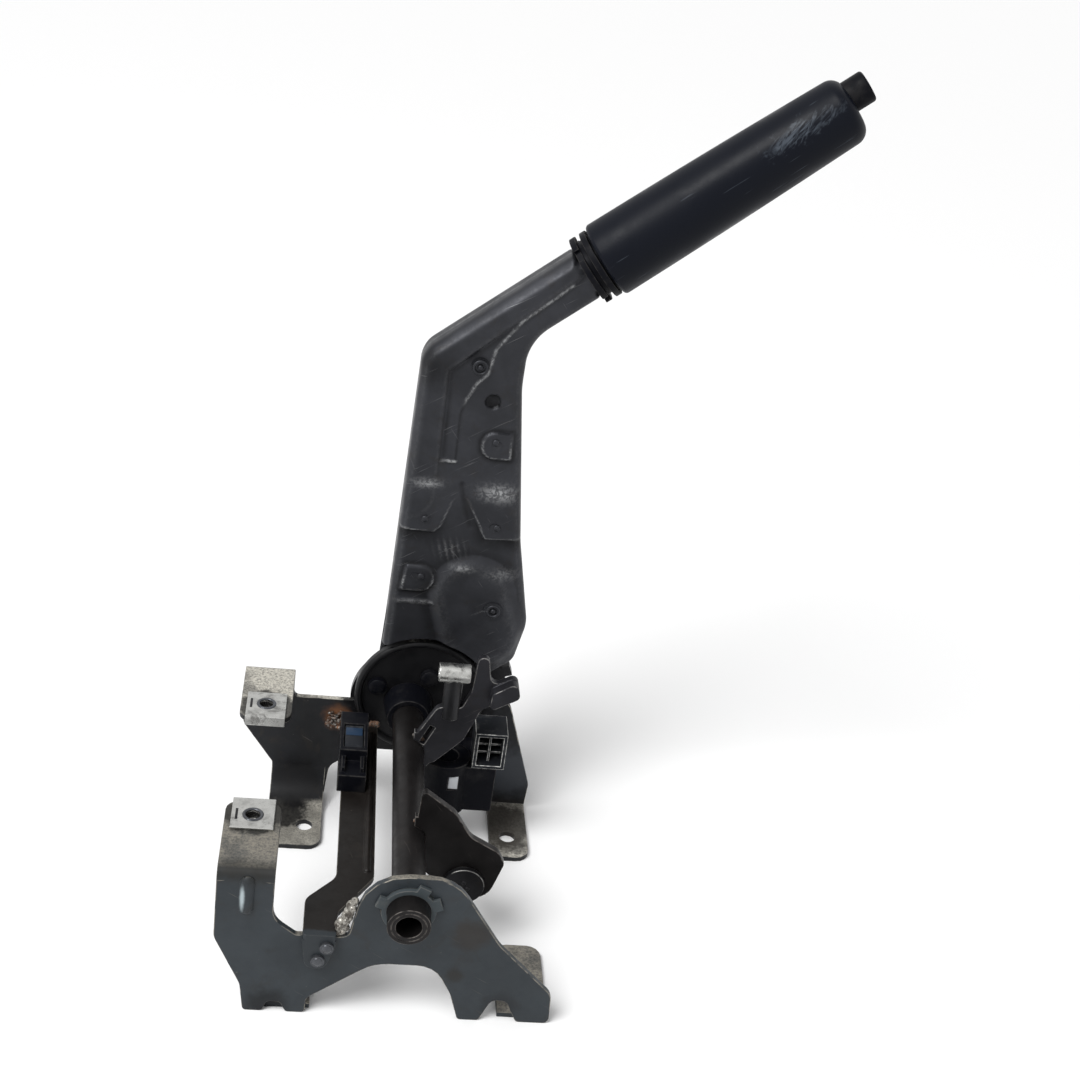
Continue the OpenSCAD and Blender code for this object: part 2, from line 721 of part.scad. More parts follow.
// Far shell: reaches down to the tube, with a hub round it
module lever_shell_far() color("gray") {
    hub_r = tube_r + 5;
    difference() {
        union() {
            at_axis(lever_y) mirror([0, 1, 0]) rotate([90, 0, 0]) half_shell();
            bar([0, 0], hub_r, lever_y + slot_half + 1.5, panel_half - slot_half - 1.5 - shell_t / 2);
        }
        sector_room();
        bar([0, 0], tube_r + fit, lever_y - 1, lever_half + 2);
        bar(rivet_place, shell_rivet_r + fit, lever_y - 1, lever_half + 2);
        bar([pawl_x, pawl_z], pawl_pin_d / 2 + fit, lever_y - 1, lever_half + 4);
        along_grip() translate([-rod_rise, rod_y, tongue_len - 5]) cylinder(r = rod_r + free_gap, h = 10);
    }
}

// Hollow rivet that joins the shells above the elbow, and the clinch studs of the four tabs
module shell_rivets() color("silver") {
    front = lever_y - panel_half;
    back = lever_y + panel_half;
    bar(rivet_place, shell_rivet_r, front - eps, back - front + 2 * eps);
    difference() {
        bar(rivet_place, shell_rivet_r + 1.8, front - rivet_head_h, rivet_head_h);
        bar(rivet_place, shell_rivet_r - 1, front - rivet_head_h - 1, 1.8);
    }
    bar(rivet_place, shell_rivet_r + 1.8, back, rivet_head_h);
    for (p = [[29, 160], [-4, 82], [-2, 116], [33, 114]])
        bar(p, 2.4, front - pad_rise - 0.8, 0.8);
}

// Pin that carries the pawl between the shells, with a head on each side
module pawl_pin() color("silver") {
    front = lever_y - panel_half - boss_rise;
    back = lever_y + panel_half + boss_rise;
    bar([pawl_x, pawl_z], pawl_pin_d / 2, front - eps, back - front + 2 * eps);
    difference() {
        bar([pawl_x, pawl_z], pawl_pin_d / 2 + 1, front - rivet_head_h, rivet_head_h);
        bar([pawl_x, pawl_z], pawl_pin_d / 2 - 2, front - rivet_head_h - 1, 1.8);
    }
    bar([pawl_x, pawl_z], pawl_pin_d / 2 + 1, back, rivet_head_h);
}

// Plastic sleeve under the grip, with two collar rings behind it and the button's guide in front
module grip_core() color("black") along_grip() {
    front = grip_len - 8;
    ring_r = core_r + 3;
    difference() {
        union() {
            translate([0, 0, tongue_start + 0.5]) cylinder(r = core_r, h = front - tongue_start - 0.5);
            for (s = [tongue_start + 0.5, tongue_start + 6])
                translate([0, 0, s]) cylinder(r = ring_r, h = 3);
        }
        translate([0, 0, tongue_start - 1]) cylinder(r = core_in_r, h = front - 8 - tongue_start + 1);
        translate([-button_rise, 0, front - 10]) cylinder(r = button_r + run_gap, h = 20);
        for (a = [40, 140, 220, 320])
            rotate([0, 0, a]) translate([core_r + 0.5, -3, tongue_start - 1]) cube([6, 6, 5]);
    }
}

// Moulded grip with a slight taper and a rounded front end
module grip() color("#15171b") along_grip() {
    rear_r = grip_rear_d / 2;
    front_r = grip_front_d / 2;
    nose_r = 7;
    lip_r = 2;
    difference() {
        rotate_extrude() polygon(concat(
            [[core_r + fit, 0]],
            [for (a = [-90:15:0]) [rear_r - lip_r + lip_r * cos(a), lip_r + lip_r * sin(a)]],
            [for (a = [0:10:90]) [front_r - nose_r + nose_r * cos(a), grip_len - nose_r + nose_r * sin(a)]],
            [[0, grip_len], [0, grip_len - 8 + fit], [core_r + fit, grip_len - 8 + fit]]));
        translate([-button_rise, 0, grip_len - 10]) cylinder(r = button_r + 0.3, h = 20);
    }
}

// Plastic washer on the end of the tongue, which the button's spring stands on
module spring_seat() color("black") along_grip() translate([0, 0, tongue_len + eps]) difference() {
    cylinder(r = core_in_r - 0.1, h = seat_t);
    translate([-rod_rise, rod_y, -1]) cylinder(r = rod_r + free_gap, h = seat_t + 2);
}

// Coil of round wire round z
module coil(r, wire, length, turns) {
    sides = 6;
    per_turn = 14;
    n = turns * per_turn;
    rise = length - wire;
    points = [for (i = [0:n], k = [0:sides - 1])
        let (a = 360 * i / per_turn, b = 360 * k / sides, d = r + wire / 2 * cos(b))
        [d * cos(a), d * sin(a), wire / 2 + rise * i / n + wire / 2 * sin(b)]];
    ring = [for (i = [0:n - 1], k = [0:sides - 1])
        let (p = i * sides + k, q = i * sides + (k + 1) % sides)
        each [[p, q + sides, q], [p, p + sides, q + sides]]];
    caps = [[for (k = [0:sides - 1]) k], [for (k = [sides - 1:-1:0]) n * sides + k]];
    polyhedron(points, concat(ring, caps), convexity = 6);
}

// Spring that pushes the button out
module button_spring() color("silver") along_grip()
    translate([-button_rise, 0, tongue_len + seat_t + 2 * eps])
        coil(button_r - spring_wire / 2 - 0.05, spring_wire, spring_len - 4 * eps, spring_turns);

// Half ring of a crank plate that lies round the right side of the tube
module saddle(r) {
    intersection() {
        circle(r);
        translate([2, -r]) square(2 * r);
    }
}

// Arm on the tube's right side that pulls the brake cable
module pull_arm() color("dimgray") {
    finger = outline([[38, 32.5, 2], [53, 41.5, 3], [50.5, 51, 3], [38.5, 43, 2]]);
    slot_place = [8.6, 11.5];
    slot_angle = 66;
    difference() {
        union() {
            upright(pull_y, crank_t) {
                saddle(tube_r + 5);
                polygon(outline([[5, -9, 2], [14, -5, 3], [27.5, 9.8, 8], [34.5, 29, 4], [53, 41.5, 3],
                                 [50.5, 51, 3], [38, 43.5, 4], [35.5, 60, 3], [30, 62, 3], [28.5, 40, 5],
                                 [24.5, arm_top_z, 3], [12.5, arm_top_z, 5], [3, 11, 2]]));
            }
            upright(pull_y - 6, crank_t + 6) polygon(finger);
        }
        bar([0, 0], tube_r + fit, pull_y - 8, crank_t + 16);
        at_axis(pull_y - 1) translate([slot_place[0], 0, slot_place[1]]) rotate([0, -slot_angle, 0])
            translate([-6, 0, -1.5]) cube([12, crank_t + 2, 3]);
    }
}

// Place of the stud's foot above the pivot axis, in the middle of the pull arm
module at_stud(z) {
    at_axis(pull_y + crank_t / 2) translate([stud_x, 0, z]) children();
}

// Upright stud that straddles the pull arm's top edge, with a saddle and spigot for the barrel
module cable_stud() color("#2a2a2c") {
    difference() {
        at_stud(stud_foot_z) cylinder(d = stud_d, h = barrel_z - stud_foot_z - 1);
        at_stud(stud_foot_z - 1) translate([-stud_d, -crank_t / 2 - fit, 0])
            cube([2 * stud_d, crank_t + 2 * fit, arm_top_z + fit - stud_foot_z + 1]);
        at_stud(barrel_z) translate([-barrel_len, 0, 0]) rotate([0, 90, 0])
            cylinder(r = barrel_d / 2 + fit, h = 2 * barrel_len);
    }
    at_stud(barrel_z - barrel_d / 2 - 1) cylinder(r = stud_spigot_r, h = barrel_d / 2 + 3);
}

// Cross barrel on the stud, which the cable's eye hooks over
module cable_barrel() color("silver") difference() {
    at_stud(barrel_z) translate([-barrel_len / 2, 0, 0]) rotate([0, 90, 0])
        cylinder(d = barrel_d, h = barrel_len);
    at_stud(barrel_z - barrel_d) cylinder(r = stud_spigot_r + fit, h = barrel_d + 2 + fit);
    for (x = [-barrel_len / 2 - 1, barrel_len / 2 - 3])
        at_stud(barrel_z) translate([x, 0, 0]) rotate([0, 90, 0]) cylinder(d = barrel_d * 0.55, h = 4);
}

// Sector-shaped lower crank on the tube, with the cable pin's eye
module lower_crank() color("dimgray") {
    hub_r = tube_r + 6;
    pin = [cable_pin_x, -cable_pin_drop];
    difference() {
        upright(crank_y, crank_t) {
            saddle(hub_r);
            polygon(outline([[4, -13, 2], [pin[0] - 4, pin[1] - 11, 8], [pin[0] + 13, pin[1] - 8, 10],
                             [48, -12, 4], [44, -5, 4], [30, 3, 10], [21, 17, 8], [4, 30, 2], [3, 12, 1]]));
        }
        bar([0, 0], tube_r + fit, crank_y - 1, crank_t + 2);
        bar(pin, pin_spigot_r + fit, crank_y - 1, crank_t + 2);
    }
}

// Headed pin riveted in the lower crank, with a cross hole for the cable clevis's split pin
module cable_pin() color("#303236") {
    pin = [cable_pin_x, -cable_pin_drop];
    back = crank_y + crank_t;
    difference() {
        union() {
            bar(pin, pin_spigot_r, crank_y - 1, crank_t + 1 + eps);
            bar(pin, pin_head_r, crank_y - pin_head_t, pin_head_t - eps);
            bar(pin, cable_pin_d / 2, back + eps, cable_pin_len);
        }
        at_axis(back + cable_pin_len - 3.5) translate([pin[0], 0, pin[1] - cable_pin_d])
            cylinder(r = 1, h = 2 * cable_pin_d);
    }
}

// Button at the grip's front end, with a hollow back
module release_button() color("#17181a") along_grip() translate([-button_rise, 0, 0]) {
    chamfer = 1;
    translate([0, 0, button_back + eps]) cylinder(r = button_r, h = button_tip - button_back - chamfer);
    translate([0, 0, button_tip - chamfer]) cylinder(r1 = button_r, r2 = button_r - chamfer, h = chamfer);
}

// Straight stretch of the release rod
module rod_bar(a, b) {
    d = b - a;
    translate(a) rotate([0, acos(d[2] / norm(d)), atan2(d[1], d[0])]) cylinder(r = rod_r, h = norm(d));
}

// Bent rod from the button down to the pawl's horn
module release_rod() color("silver") {
    top = on_grip(button_back, rod_rise);
    bend = on_grip(rod_bend, rod_rise);
    horn = [pawl_x, pawl_z] + polar(horn_len, horn_angle);
    at_axis(lever_y + rod_y) {
        rod_bar([bend[0], 0, bend[1]], [top[0], 0, top[1]]);
        rod_bar([horn[0], 0, horn[1]], [bend[0], 0, bend[1]]);
        for (p = [bend, horn])
            translate([p[0], 0, p[1]]) sphere(rod_r + rod_knuckle);
    }
    bar(horn, rod_r - 0.1, lever_y - sector_t / 2, sector_t / 2 + rod_y);
}

// Pawl that drops into the sector's teeth, with a slotted horn for the rod
module pawl() color("gray") {
    tip = polar(tooth_r + free_gap, pawl_tip_angle);
    back = polar(tooth_r + free_gap + 9, pawl_tip_angle + 9);
    horn_c = [pawl_x, pawl_z] + polar(horn_len, horn_angle);
    difference() {
        upright(far_y, sector_t) {
            translate([pawl_x, pawl_z]) circle(9);
            polygon([tip, polar(tooth_r + free_gap + 3, pawl_tip_angle - 5), [pawl_x + 8.5, pawl_z - 3],
                     [pawl_x - 8.5, pawl_z + 3], back, polar(tooth_r + free_gap + 3, pawl_tip_angle + 3)]);
            translate([pawl_x, pawl_z]) rotate([0, 0, horn_angle]) translate([0, -5]) square([horn_len, 10]);
            translate(horn_c) circle(5);
        }
        bar([pawl_x, pawl_z], pawl_pin_d / 2 + run_gap, far_y - 1, sector_t + 2);
        bar(horn_c, rod_r + free_gap, far_y - 1, sector_t + 2);
        at_axis(far_y - 1) translate([pawl_x, 0, pawl_z]) rotate([0, -horn_angle, 0])
            translate([horn_len - 1, 0, -rod_r - free_gap])
                cube([7, sector_t + 2, 2 * (rod_r + free_gap)]);
    }
}

near_bracket();
far_bracket();
cross_strap();
strap_rivets();
near_clip_nut();
far_clip_nut();
near_bush();
far_bush();
ratchet_sector();
sector_rivets();
warning_switch();
cable_guide();
cable_guide_socket();
pivot_tube();
pivot_sleeve();
lever_shell_near();
lever_shell_far();
shell_rivets();
pawl_pin();
grip_core();
grip();
spring_seat();
button_spring();
pull_arm();
cable_stud();
cable_barrel();
lower_crank();
cable_pin();
release_button();
release_rod();
pawl();
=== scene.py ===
"""Looks of a parking brake lever: pressed shells, brackets, grip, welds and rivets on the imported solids."""
import json
import math

import bmesh
import bpy
import numpy as np
from bpy.props import FloatProperty, FloatVectorProperty, IntProperty, PointerProperty
from mathutils import Matrix, Vector
from mathutils.bvhtree import BVHTree
from mathutils.geometry import delaunay_2d_cdt


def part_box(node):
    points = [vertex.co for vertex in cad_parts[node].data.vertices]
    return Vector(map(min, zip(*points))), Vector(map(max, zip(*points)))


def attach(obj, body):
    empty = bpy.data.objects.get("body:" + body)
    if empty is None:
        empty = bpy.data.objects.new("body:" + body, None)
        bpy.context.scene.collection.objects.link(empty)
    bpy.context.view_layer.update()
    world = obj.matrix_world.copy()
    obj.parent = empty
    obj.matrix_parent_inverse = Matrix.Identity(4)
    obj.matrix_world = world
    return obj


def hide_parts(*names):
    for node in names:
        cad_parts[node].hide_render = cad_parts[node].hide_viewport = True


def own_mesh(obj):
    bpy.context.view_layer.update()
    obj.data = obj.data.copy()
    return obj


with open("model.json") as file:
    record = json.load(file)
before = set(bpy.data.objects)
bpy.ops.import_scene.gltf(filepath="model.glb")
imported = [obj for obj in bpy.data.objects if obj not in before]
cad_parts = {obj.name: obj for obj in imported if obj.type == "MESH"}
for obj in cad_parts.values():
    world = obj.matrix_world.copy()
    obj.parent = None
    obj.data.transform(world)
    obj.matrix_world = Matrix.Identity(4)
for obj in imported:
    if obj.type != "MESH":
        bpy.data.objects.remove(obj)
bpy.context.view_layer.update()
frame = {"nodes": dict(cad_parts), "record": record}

bl_info = {
    "name": "Parking brake lever",
    "version": (1, 0, 0),
    "blender": (4, 5, 0),
    "location": "3D View > Sidebar > Brake lever",
    "description": "Builds the pressed, moulded and welded pieces of a parking brake lever",
    "category": "Object",
}

MM = 0.001

# Places and sizes shared with the solids, in mm; places in the lever's plane count from the pivot axis
JOINTS = {j["name"]: j for j in frame["record"]["behaviour"]["joints"]}
AXIS = Vector(JOINTS["lever_pivot"]["pos_m"]) / MM
LEVER_Y = JOINTS["pawl_turn"]["pos_m"][1] / MM
PAWL = (JOINTS["pawl_turn"]["pos_m"][0] / MM - AXIS.x, JOINTS["pawl_turn"]["pos_m"][2] / MM - AXIS.z)
# Grip, its core and the button in its nose
GRIP_REAR = (69.5, 257.0)
GRIP_ANGLE = math.radians(40)
GRIP_LENGTH = 134.0
GRIP_REAR_R = 18.7
GRIP_FRONT_R = 16.25
CORE_R = 14.3
BUTTON_RISE = 4.4
BUTTON_R = 7.7
# Half widths of the arm and of its tongue inside the grip, and where the tongue runs along the grip
ARM_HALF = 12.3
TONGUE_HALF = 9.0
TONGUE_START = -10.0
TONGUE_END = 98.0
# Shells: half depth over the panel, sheet, rolled edge, arch round the far bracket's head, ratchet slot
PANEL_HALF = 9.4
SHELL_WALL = 2.0
SHELL_EDGE = 5.0
ARCH = (6.0, 5.0, 39.0)
SLOT_HALF = 2.8
SLOT_TOP = 57.3
# Cross tube, front faces of the brackets, the strap's middle and its top face, and the two cranks
TUBE_R = 8.0
NEAR_Y = -84.0
FAR_FRONT = 81.0
STRAP_X = -24.0
STRAP_Z = -15.5
PULL_Y = 36.0
CRANK_Y = -34.0
CRANK_T = 4.0
# Scuff on the grip's upper near side, drawn pale enough to paint part of the grip's highlight too: place
# along the grip, above its axis and aside, and its reach each way
SCUFF_HIGHLIGHT_PLACE = (106, 8, -14)
SCUFF_HIGHLIGHT_REACH = Vector((24, 9, 6))


def linear(code):
    """sRGB hex colour to the linear values that Blender's colours hold."""
    parts = [int(code[i:i + 2], 16) / 255 for i in (1, 3, 5)]
    return tuple(c / 12.92 if c <= 0.04045 else ((c + 0.055) / 1.055) ** 2.4 for c in parts)


def length(name, text, mm):
    """Length property given in millimetres."""
    return FloatProperty(name=name, description=text, default=mm * MM, min=0.0,
                         subtype="DISTANCE", unit="LENGTH")


def colour(name, text, code):
    """Colour property given as an sRGB hex value."""
    return FloatVectorProperty(name=name, description=text, default=linear(code), size=3, min=0.0, max=1.0,
                               subtype="COLOR")


class LeverSizes(bpy.types.PropertyGroup):
    """Sizes of the pieces that are made here."""
    shell_grid: length("Shell grid", "Spacing of the points on the pressed shells", 0.85)
    relief_slope: length("Relief slope", "Width of the slope round a pressed form", 2.2)
    weld_radius: length("Weld radius", "Half thickness of a weld bead", 1.5)
    weld_pitch: length("Weld pitch", "Distance between two ripples of a weld", 1.1)
    weld_seed: IntProperty(name="Weld seed", description="Seed of the uneven ripples", default=7)
    spring_wire: length("Spring wire", "Diameter of the button spring's wire", 1.1)
    spring_turns: FloatProperty(name="Spring turns", description="Turns of the button spring", default=4.0)


class LeverColours(bpy.types.PropertyGroup):
    """Colours of the finishes."""
    bracket: colour("Bracket", "Blue-grey paint of the near bracket", "#2b3034")
    far_bracket: colour("Far bracket", "Dark paint of the far bracket", "#191a1d")
    # The bare colours also show on tops that face up, as speckled dust with a painted sheen; the far one is
    # brighter for that sheen
    bare: colour("Bare metal", "Metal that shows where the near bracket's paint is worn", "#8f8a80")
    far_bare: colour("Far bare metal", "Brighter metal of the far bracket's tab and feet", "#cdc9be")
    strap: colour("Strap", "Brown-grey paint of the strap", "#13100e")
    lever: colour("Lever", "Dark grey finish of the lever", "#303135")
    tube: colour("Tube", "Dark finish of the tube and cranks", "#1f1d1d")
    zinc: colour("Zinc", "Plating of clips, rivets and barrel", "#b9b9b6")
    oiled: colour("Oiled steel", "Dark hardened steel", "#252527")
    plastic: colour("Black plastic", "Moulded black parts", "#0a0b10")
    grip: colour("Grip", "Blue-black skin of the grip", "#0b0e16")
    bush: colour("Bush", "Pale plastic of the near bush", "#43494c")
    socket: colour("Socket", "Grey plastic of the socket", "#232529")
    window: colour("Window", "Blue-grey window of the switch", "#24354a")
    label: colour("Label", "Pale grey of the guide's window and the socket's rim", "#b9bcc0")
    # Also used as painted shade on the far bracket's head and on the sweep down to its left foot
    grease: colour("Grease", "Black grease round the pivot", "#0a0a0c")
    rust: colour("Rust", "Rust on the welds", "#7a5236")
    dirt: colour("Dirt", "Dry dirt in the corners", "#2a2622")


def sizes():
    """Sizes as set in the scene."""
    return bpy.context.scene.brake_lever_sizes


def colours():
    """Colours as set in the scene."""
    return bpy.context.scene.brake_lever_colours


# Materials

# Nodes by their job: kind, settings, the inputs in the order that their values come, and the output used
NODES = {
    "place": ("ShaderNodeTexCoord", {}, (), "Object"),
    "turned": ("ShaderNodeMapping", {"vector_type": "TEXTURE"},
               ("Vector", "Rotation", "Scale", "Location"), "Vector"),
    "noise": ("ShaderNodeTexNoise", {}, ("Vector", "Scale", "Detail", "Roughness", "Distortion"), "Fac"),
    "ramp": ("ShaderNodeMapRange", {"interpolation_type": "SMOOTHSTEP"},
             ("Value", "From Min", "From Max", "To Min", "To Max"), "Result"),
    "mix": ("ShaderNodeMix", {"data_type": "RGBA"}, (0, 6, 7), 2),
    "times": ("ShaderNodeMath", {"operation": "MULTIPLY", "use_clamp": True}, (0, 1), 0),
    "most": ("ShaderNodeMath", {"operation": "MAXIMUM", "use_clamp": True}, (0, 1), 0),
    "less": ("ShaderNodeMath", {"operation": "SUBTRACT"}, (0, 1), 0),
    "plus": ("ShaderNodeMath", {"operation": "ADD"}, (0, 1), 0),
    "away": ("ShaderNodeVectorMath", {"operation": "SUBTRACT"}, (0, 1), "Vector"),
    "squeezed": ("ShaderNodeVectorMath", {"operation": "MULTIPLY"}, (0, 1), "Vector"),
    "far": ("ShaderNodeVectorMath", {"operation": "LENGTH"}, (0,), "Value"),
    "normal": ("ShaderNodeNewGeometry", {}, (), "Normal"),
    "upward": ("ShaderNodeSeparateXYZ", {}, ("Vector",), "Z"),
    "edge": ("ShaderNodeAttribute", {"attribute_name": "edge"}, (), "Fac"),
    "rub": ("ShaderNodeAttribute", {"attribute_name": "rub"}, (), "Fac"),
    "soot": ("ShaderNodeAttribute", {"attribute_name": "soot"}, (), "Fac"),
    "bump": ("ShaderNodeBump", {}, ("Height", "Distance", "Strength"), "Normal"),
    "rays": ("ShaderNodeLightPath", {}, (), 0),
    "sky": ("ShaderNodeBackground", {}, ("Color", "Strength"), 0),
    "either": ("ShaderNodeMixShader", {}, (0, 1, 2), 0),
    "world": ("ShaderNodeOutputWorld", {}, ("Surface",), None),
    "start": ("NodeGroupInput", {}, (), 0),
    "end": ("NodeGroupOutput", {}, ("Geometry",), None),
    "real": ("GeometryNodeRealizeInstances", {}, ("Geometry",), 0),
    "smoothed": ("GeometryNodeSetShadeSmooth", {}, ("Geometry",), 0),
    "dressed": ("GeometryNodeSetMaterial", {}, ("Geometry", "Material"), 0),
    "ball": ("GeometryNodeMeshUVSphere", {}, ("Segments", "Rings", "Radius"), "Mesh"),
    "lump": ("GeometryNodeMeshIcoSphere", {}, ("Subdivisions", "Radius"), "Mesh"),
    "direction": ("GeometryNodeInputNamedAttribute", {"data_type": "FLOAT_VECTOR"}, ("Name",), "Attribute"),
    "tangent": ("GeometryNodeInputTangent", {}, (), 0),
    "stood": ("FunctionNodeAlignRotationToVector", {"axis": "Z"}, ("Vector",), "Rotation"),
    "sides": ("ShaderNodeCombineXYZ", {}, ("X", "Y", "Z"), "Vector"),
    "on_points": ("GeometryNodeInstanceOnPoints", {}, ("Points", "Instance", "Scale", "Rotation"), 0),
    "line": ("GeometryNodeMeshToCurve", {}, ("Mesh",), "Curve"),
    "ripples": ("GeometryNodeResampleCurve", {"mode": "LENGTH"}, ("Curve", "Length"), "Curve"),
    "uneven": ("FunctionNodeRandomValue", {"data_type": "FLOAT"}, (2, 3, "Seed"), 1),
    "uneven_sides": ("FunctionNodeRandomValue", {"data_type": "FLOAT_VECTOR"}, (0, 1, "Seed"), 0),
    "sized": ("ShaderNodeVectorMath", {"operation": "SCALE"}, (0, "Scale"), "Vector"),
    "spiral": ("GeometryNodeCurveSpiral", {},
               ("Resolution", "Rotations", "Start Radius", "End Radius", "Height"), 0),
    "round": ("GeometryNodeCurvePrimitiveCircle", {}, ("Resolution", "Radius"), "Curve"),
    "swept": ("GeometryNodeCurveToMesh", {}, ("Curve", "Profile Curve", "Fill Caps"), "Mesh"),
    "moved": ("GeometryNodeTransform", {}, ("Geometry", "Translation", "Rotation"), 0),
}


def join(tree, node, values):
    """Links a node's inputs to output sockets, or sets them to constants."""
    for name, value in values.items():
        socket = node.inputs[name]
        if isinstance(value, bpy.types.NodeSocket):
            tree.links.new(value, socket)
        else:
            socket.default_value = (*value, 1.0) if socket.type == "RGBA" else value


def add(tree, job, *values):
    """Adds the node for a job with its settings and links, and gives the output that is used."""
    kind, settings, names, output = NODES[job]
    made = tree.nodes.new(kind)
    for name, value in settings.items():
        setattr(made, name, value)
    join(tree, made, dict(zip(names, values)))
    return None if output is None else made.outputs[output]


def per_mm(size):
    """Texture scale on Object coordinates for a feature of this size in millimetres."""
    return 1000.0 / size


def blank(name):
    """New material with a Principled shader; gives the tree, the shader and Object coordinates."""
    made = bpy.data.materials.new(name)
    made.use_nodes = True
    tree = made.node_tree
    return made, tree, tree.nodes["Principled BSDF"], add(tree, "place")


def patches(tree, place, size_mm, between, to=(0.0, 1.0), detail=4, rough=0.6, distort=0.0):
    """Soft patches of about this size: noise that rises between two levels, from one value to another."""
    return add(tree, "ramp", add(tree, "noise", place, per_mm(size_mm), detail, rough, distort),
               *between, *to)


def scratches(tree, place, turn, along_mm, across_mm, low, high):
    """Thin straight marks that run one way across a surface; the turn tilts their thin side away from Z."""
    # Real hairline scratches are about 0.1 mm wide; these are as wide as they need to be to show
    turned = add(tree, "turned", place, turn, (along_mm * MM, along_mm * MM, across_mm * MM))
    return add(tree, "ramp", add(tree, "noise", turned, 1.0, 2, 0.6), low, high)


def facing_up(tree):
    """1 on faces that look up, 0 on upright ones."""
    return add(tree, "ramp", add(tree, "upward", add(tree, "normal")), 0.86, 0.97)


def near_to(tree, place, spot, inner_mm, outer_mm, squeeze=(1.0, 1.0, 1.0)):
    """1 within the inner distance of a spot, 0 beyond the outer, uneven between; squeezed axes reach far."""
    away = add(tree, "squeezed", add(tree, "away", place, spot), squeeze)
    border = 0.12 * outer_mm * MM
    far = add(tree, "plus", add(tree, "far", away), patches(tree, place, 7, (0.3, 0.7), (-border, border)))
    return add(tree, "ramp", far, inner_mm * MM, outer_mm * MM, 1.0, 0.0)


def painted_sheet(name, paint, bare, dirt, wear, dirt_amount, bright_tops, stains_and_painted_light_at):
    """Used dip-painted steel sheet: satin paint, bright edges, speckled dust and painted sheen on the tops,
    dry dirt.
    """
    made, tree, shader, place = blank(name)
    cloudy = add(tree, "noise", place, per_mm(26), 4, 0.6)
    fine = add(tree, "noise", place, per_mm(2.2), 4, 0.65)
    shade = add(tree, "mix", add(tree, "ramp", cloudy, 0.35, 0.7), paint, [c * 1.25 for c in paint])
    dirty = patches(tree, place, 14, (0.52, 0.68), (0.0, dirt_amount), 6, 0.7, 0.6)
    shade = add(tree, "mix", dirty, shade, dirt)
    clean = 1.0
    for spot, inner_mm, outer_mm, spot_colour, amount, *squeeze in stains_and_painted_light_at:
        cover = add(tree, "times", near_to(tree, place, spot, inner_mm, outer_mm, *squeeze), amount)
        shade = add(tree, "mix", cover, shade, spot_colour)
        clean = add(tree, "times", clean, add(tree, "less", 1.0, cover))
    edge = add(tree, "times", add(tree, "edge"), patches(tree, place, 5, (0.36, 0.56)))
    flecks = add(tree, "times", add(tree, "ramp", fine, 0.68, 0.75),
                 add(tree, "ramp", cloudy, 0.45, 0.6, 0.0, 0.35))
    worn = add(tree, "most", add(tree, "times", edge, wear), flecks)
    # Tops that face up get speckled dust and a painted sheen
    if bright_tops:
        speckle = patches(tree, place, 1.3, (0.36, 0.6), (0.35, 1.0), 5, 0.75)
        dust_and_sheen = add(tree, "times", speckle, patches(tree, place, 16, (0.34, 0.5), (0.45, 1.0), 3))
        worn = add(tree, "most", worn, add(tree, "times", facing_up(tree), dust_and_sheen))
    marks = scratches(tree, place, (0.3, 0.5, 0.9), 22, 0.7, 0.7, 0.78)
    worn = add(tree, "times", add(tree, "most", worn, add(tree, "times", marks, 0.2)), clean)
    join(tree, shader, {"Base Color": add(tree, "mix", worn, shade, bare),
                        "Metallic": add(tree, "times", worn, 0.9), "Specular IOR Level": 0.22,
                        "Roughness": patches(tree, place, 6, (0.3, 0.7), (0.34, 0.56)),
                        "Normal": add(tree, "bump", fine, 0.05 * MM, 0.5)})
    return made


def satin_steel(name, base, bare, dirt, rough):
    """Pressed steel, thin dark finish: satin sheen, long scratches, worn forms with painted highlights,
    painted shade in their corners, oily patches.
    """
    made, tree, shader, place = blank(name)
    cloudy = patches(tree, place, 34, (0.35, 0.68), distort=0.3)
    shade = add(tree, "mix", cloudy, [c * 0.8 for c in base], [c * 1.2 for c in base])
    oil = patches(tree, place, 11, (0.54, 0.7), (0.0, 0.3), 5, 0.65, 0.8)
    shade = add(tree, "mix", oil, shade, dirt)
    # Painted shade from the shells' attribute, in the corners and under the pressed forms
    painted_shade = add(tree, "times", add(tree, "soot"), patches(tree, place, 6, (0.25, 0.6), (0.6, 1.0)))
    shade = add(tree, "mix", painted_shade, shade, linear("#0b0b0c"))
    long_marks = scratches(tree, place, (0.0, -0.58, 0.2), 30, 0.55, 0.68, 0.74)
    cross_marks = scratches(tree, place, (0.2, 0.9, 0.1), 18, 0.5, 0.72, 0.77)
    zone = patches(tree, place, 24, (0.42, 0.62), detail=3, rough=0.5)
    marks = add(tree, "times", add(tree, "most", long_marks, cross_marks), zone)
    # Worn metal and painted highlights on the edges of the pressed forms, from the shells' attribute
    rub = add(tree, "times", add(tree, "rub"),
              patches(tree, place, 2.0, (0.4, 0.62), (0.2, 1.0), 5, 0.65, 0.7))
    edge = add(tree, "times", add(tree, "edge"), patches(tree, place, 5, (0.4, 0.6), (0.0, 0.7)))
    worn = add(tree, "most", add(tree, "times", marks, 0.28), add(tree, "most", rub, edge))
    grain = add(tree, "less", add(tree, "noise", place, per_mm(1.6), 4, 0.6), add(tree, "times", marks, 0.5))
    join(tree, shader, {"Base Color": add(tree, "mix", worn, shade, bare), "Metallic": 0.6,
                        "Specular IOR Level": 0.3,
                        "Roughness": patches(tree, place, 9, (0.3, 0.72), rough, 5, 0.65),
                        "Normal": add(tree, "bump", grain, 0.05 * MM, 0.6)})
    return made


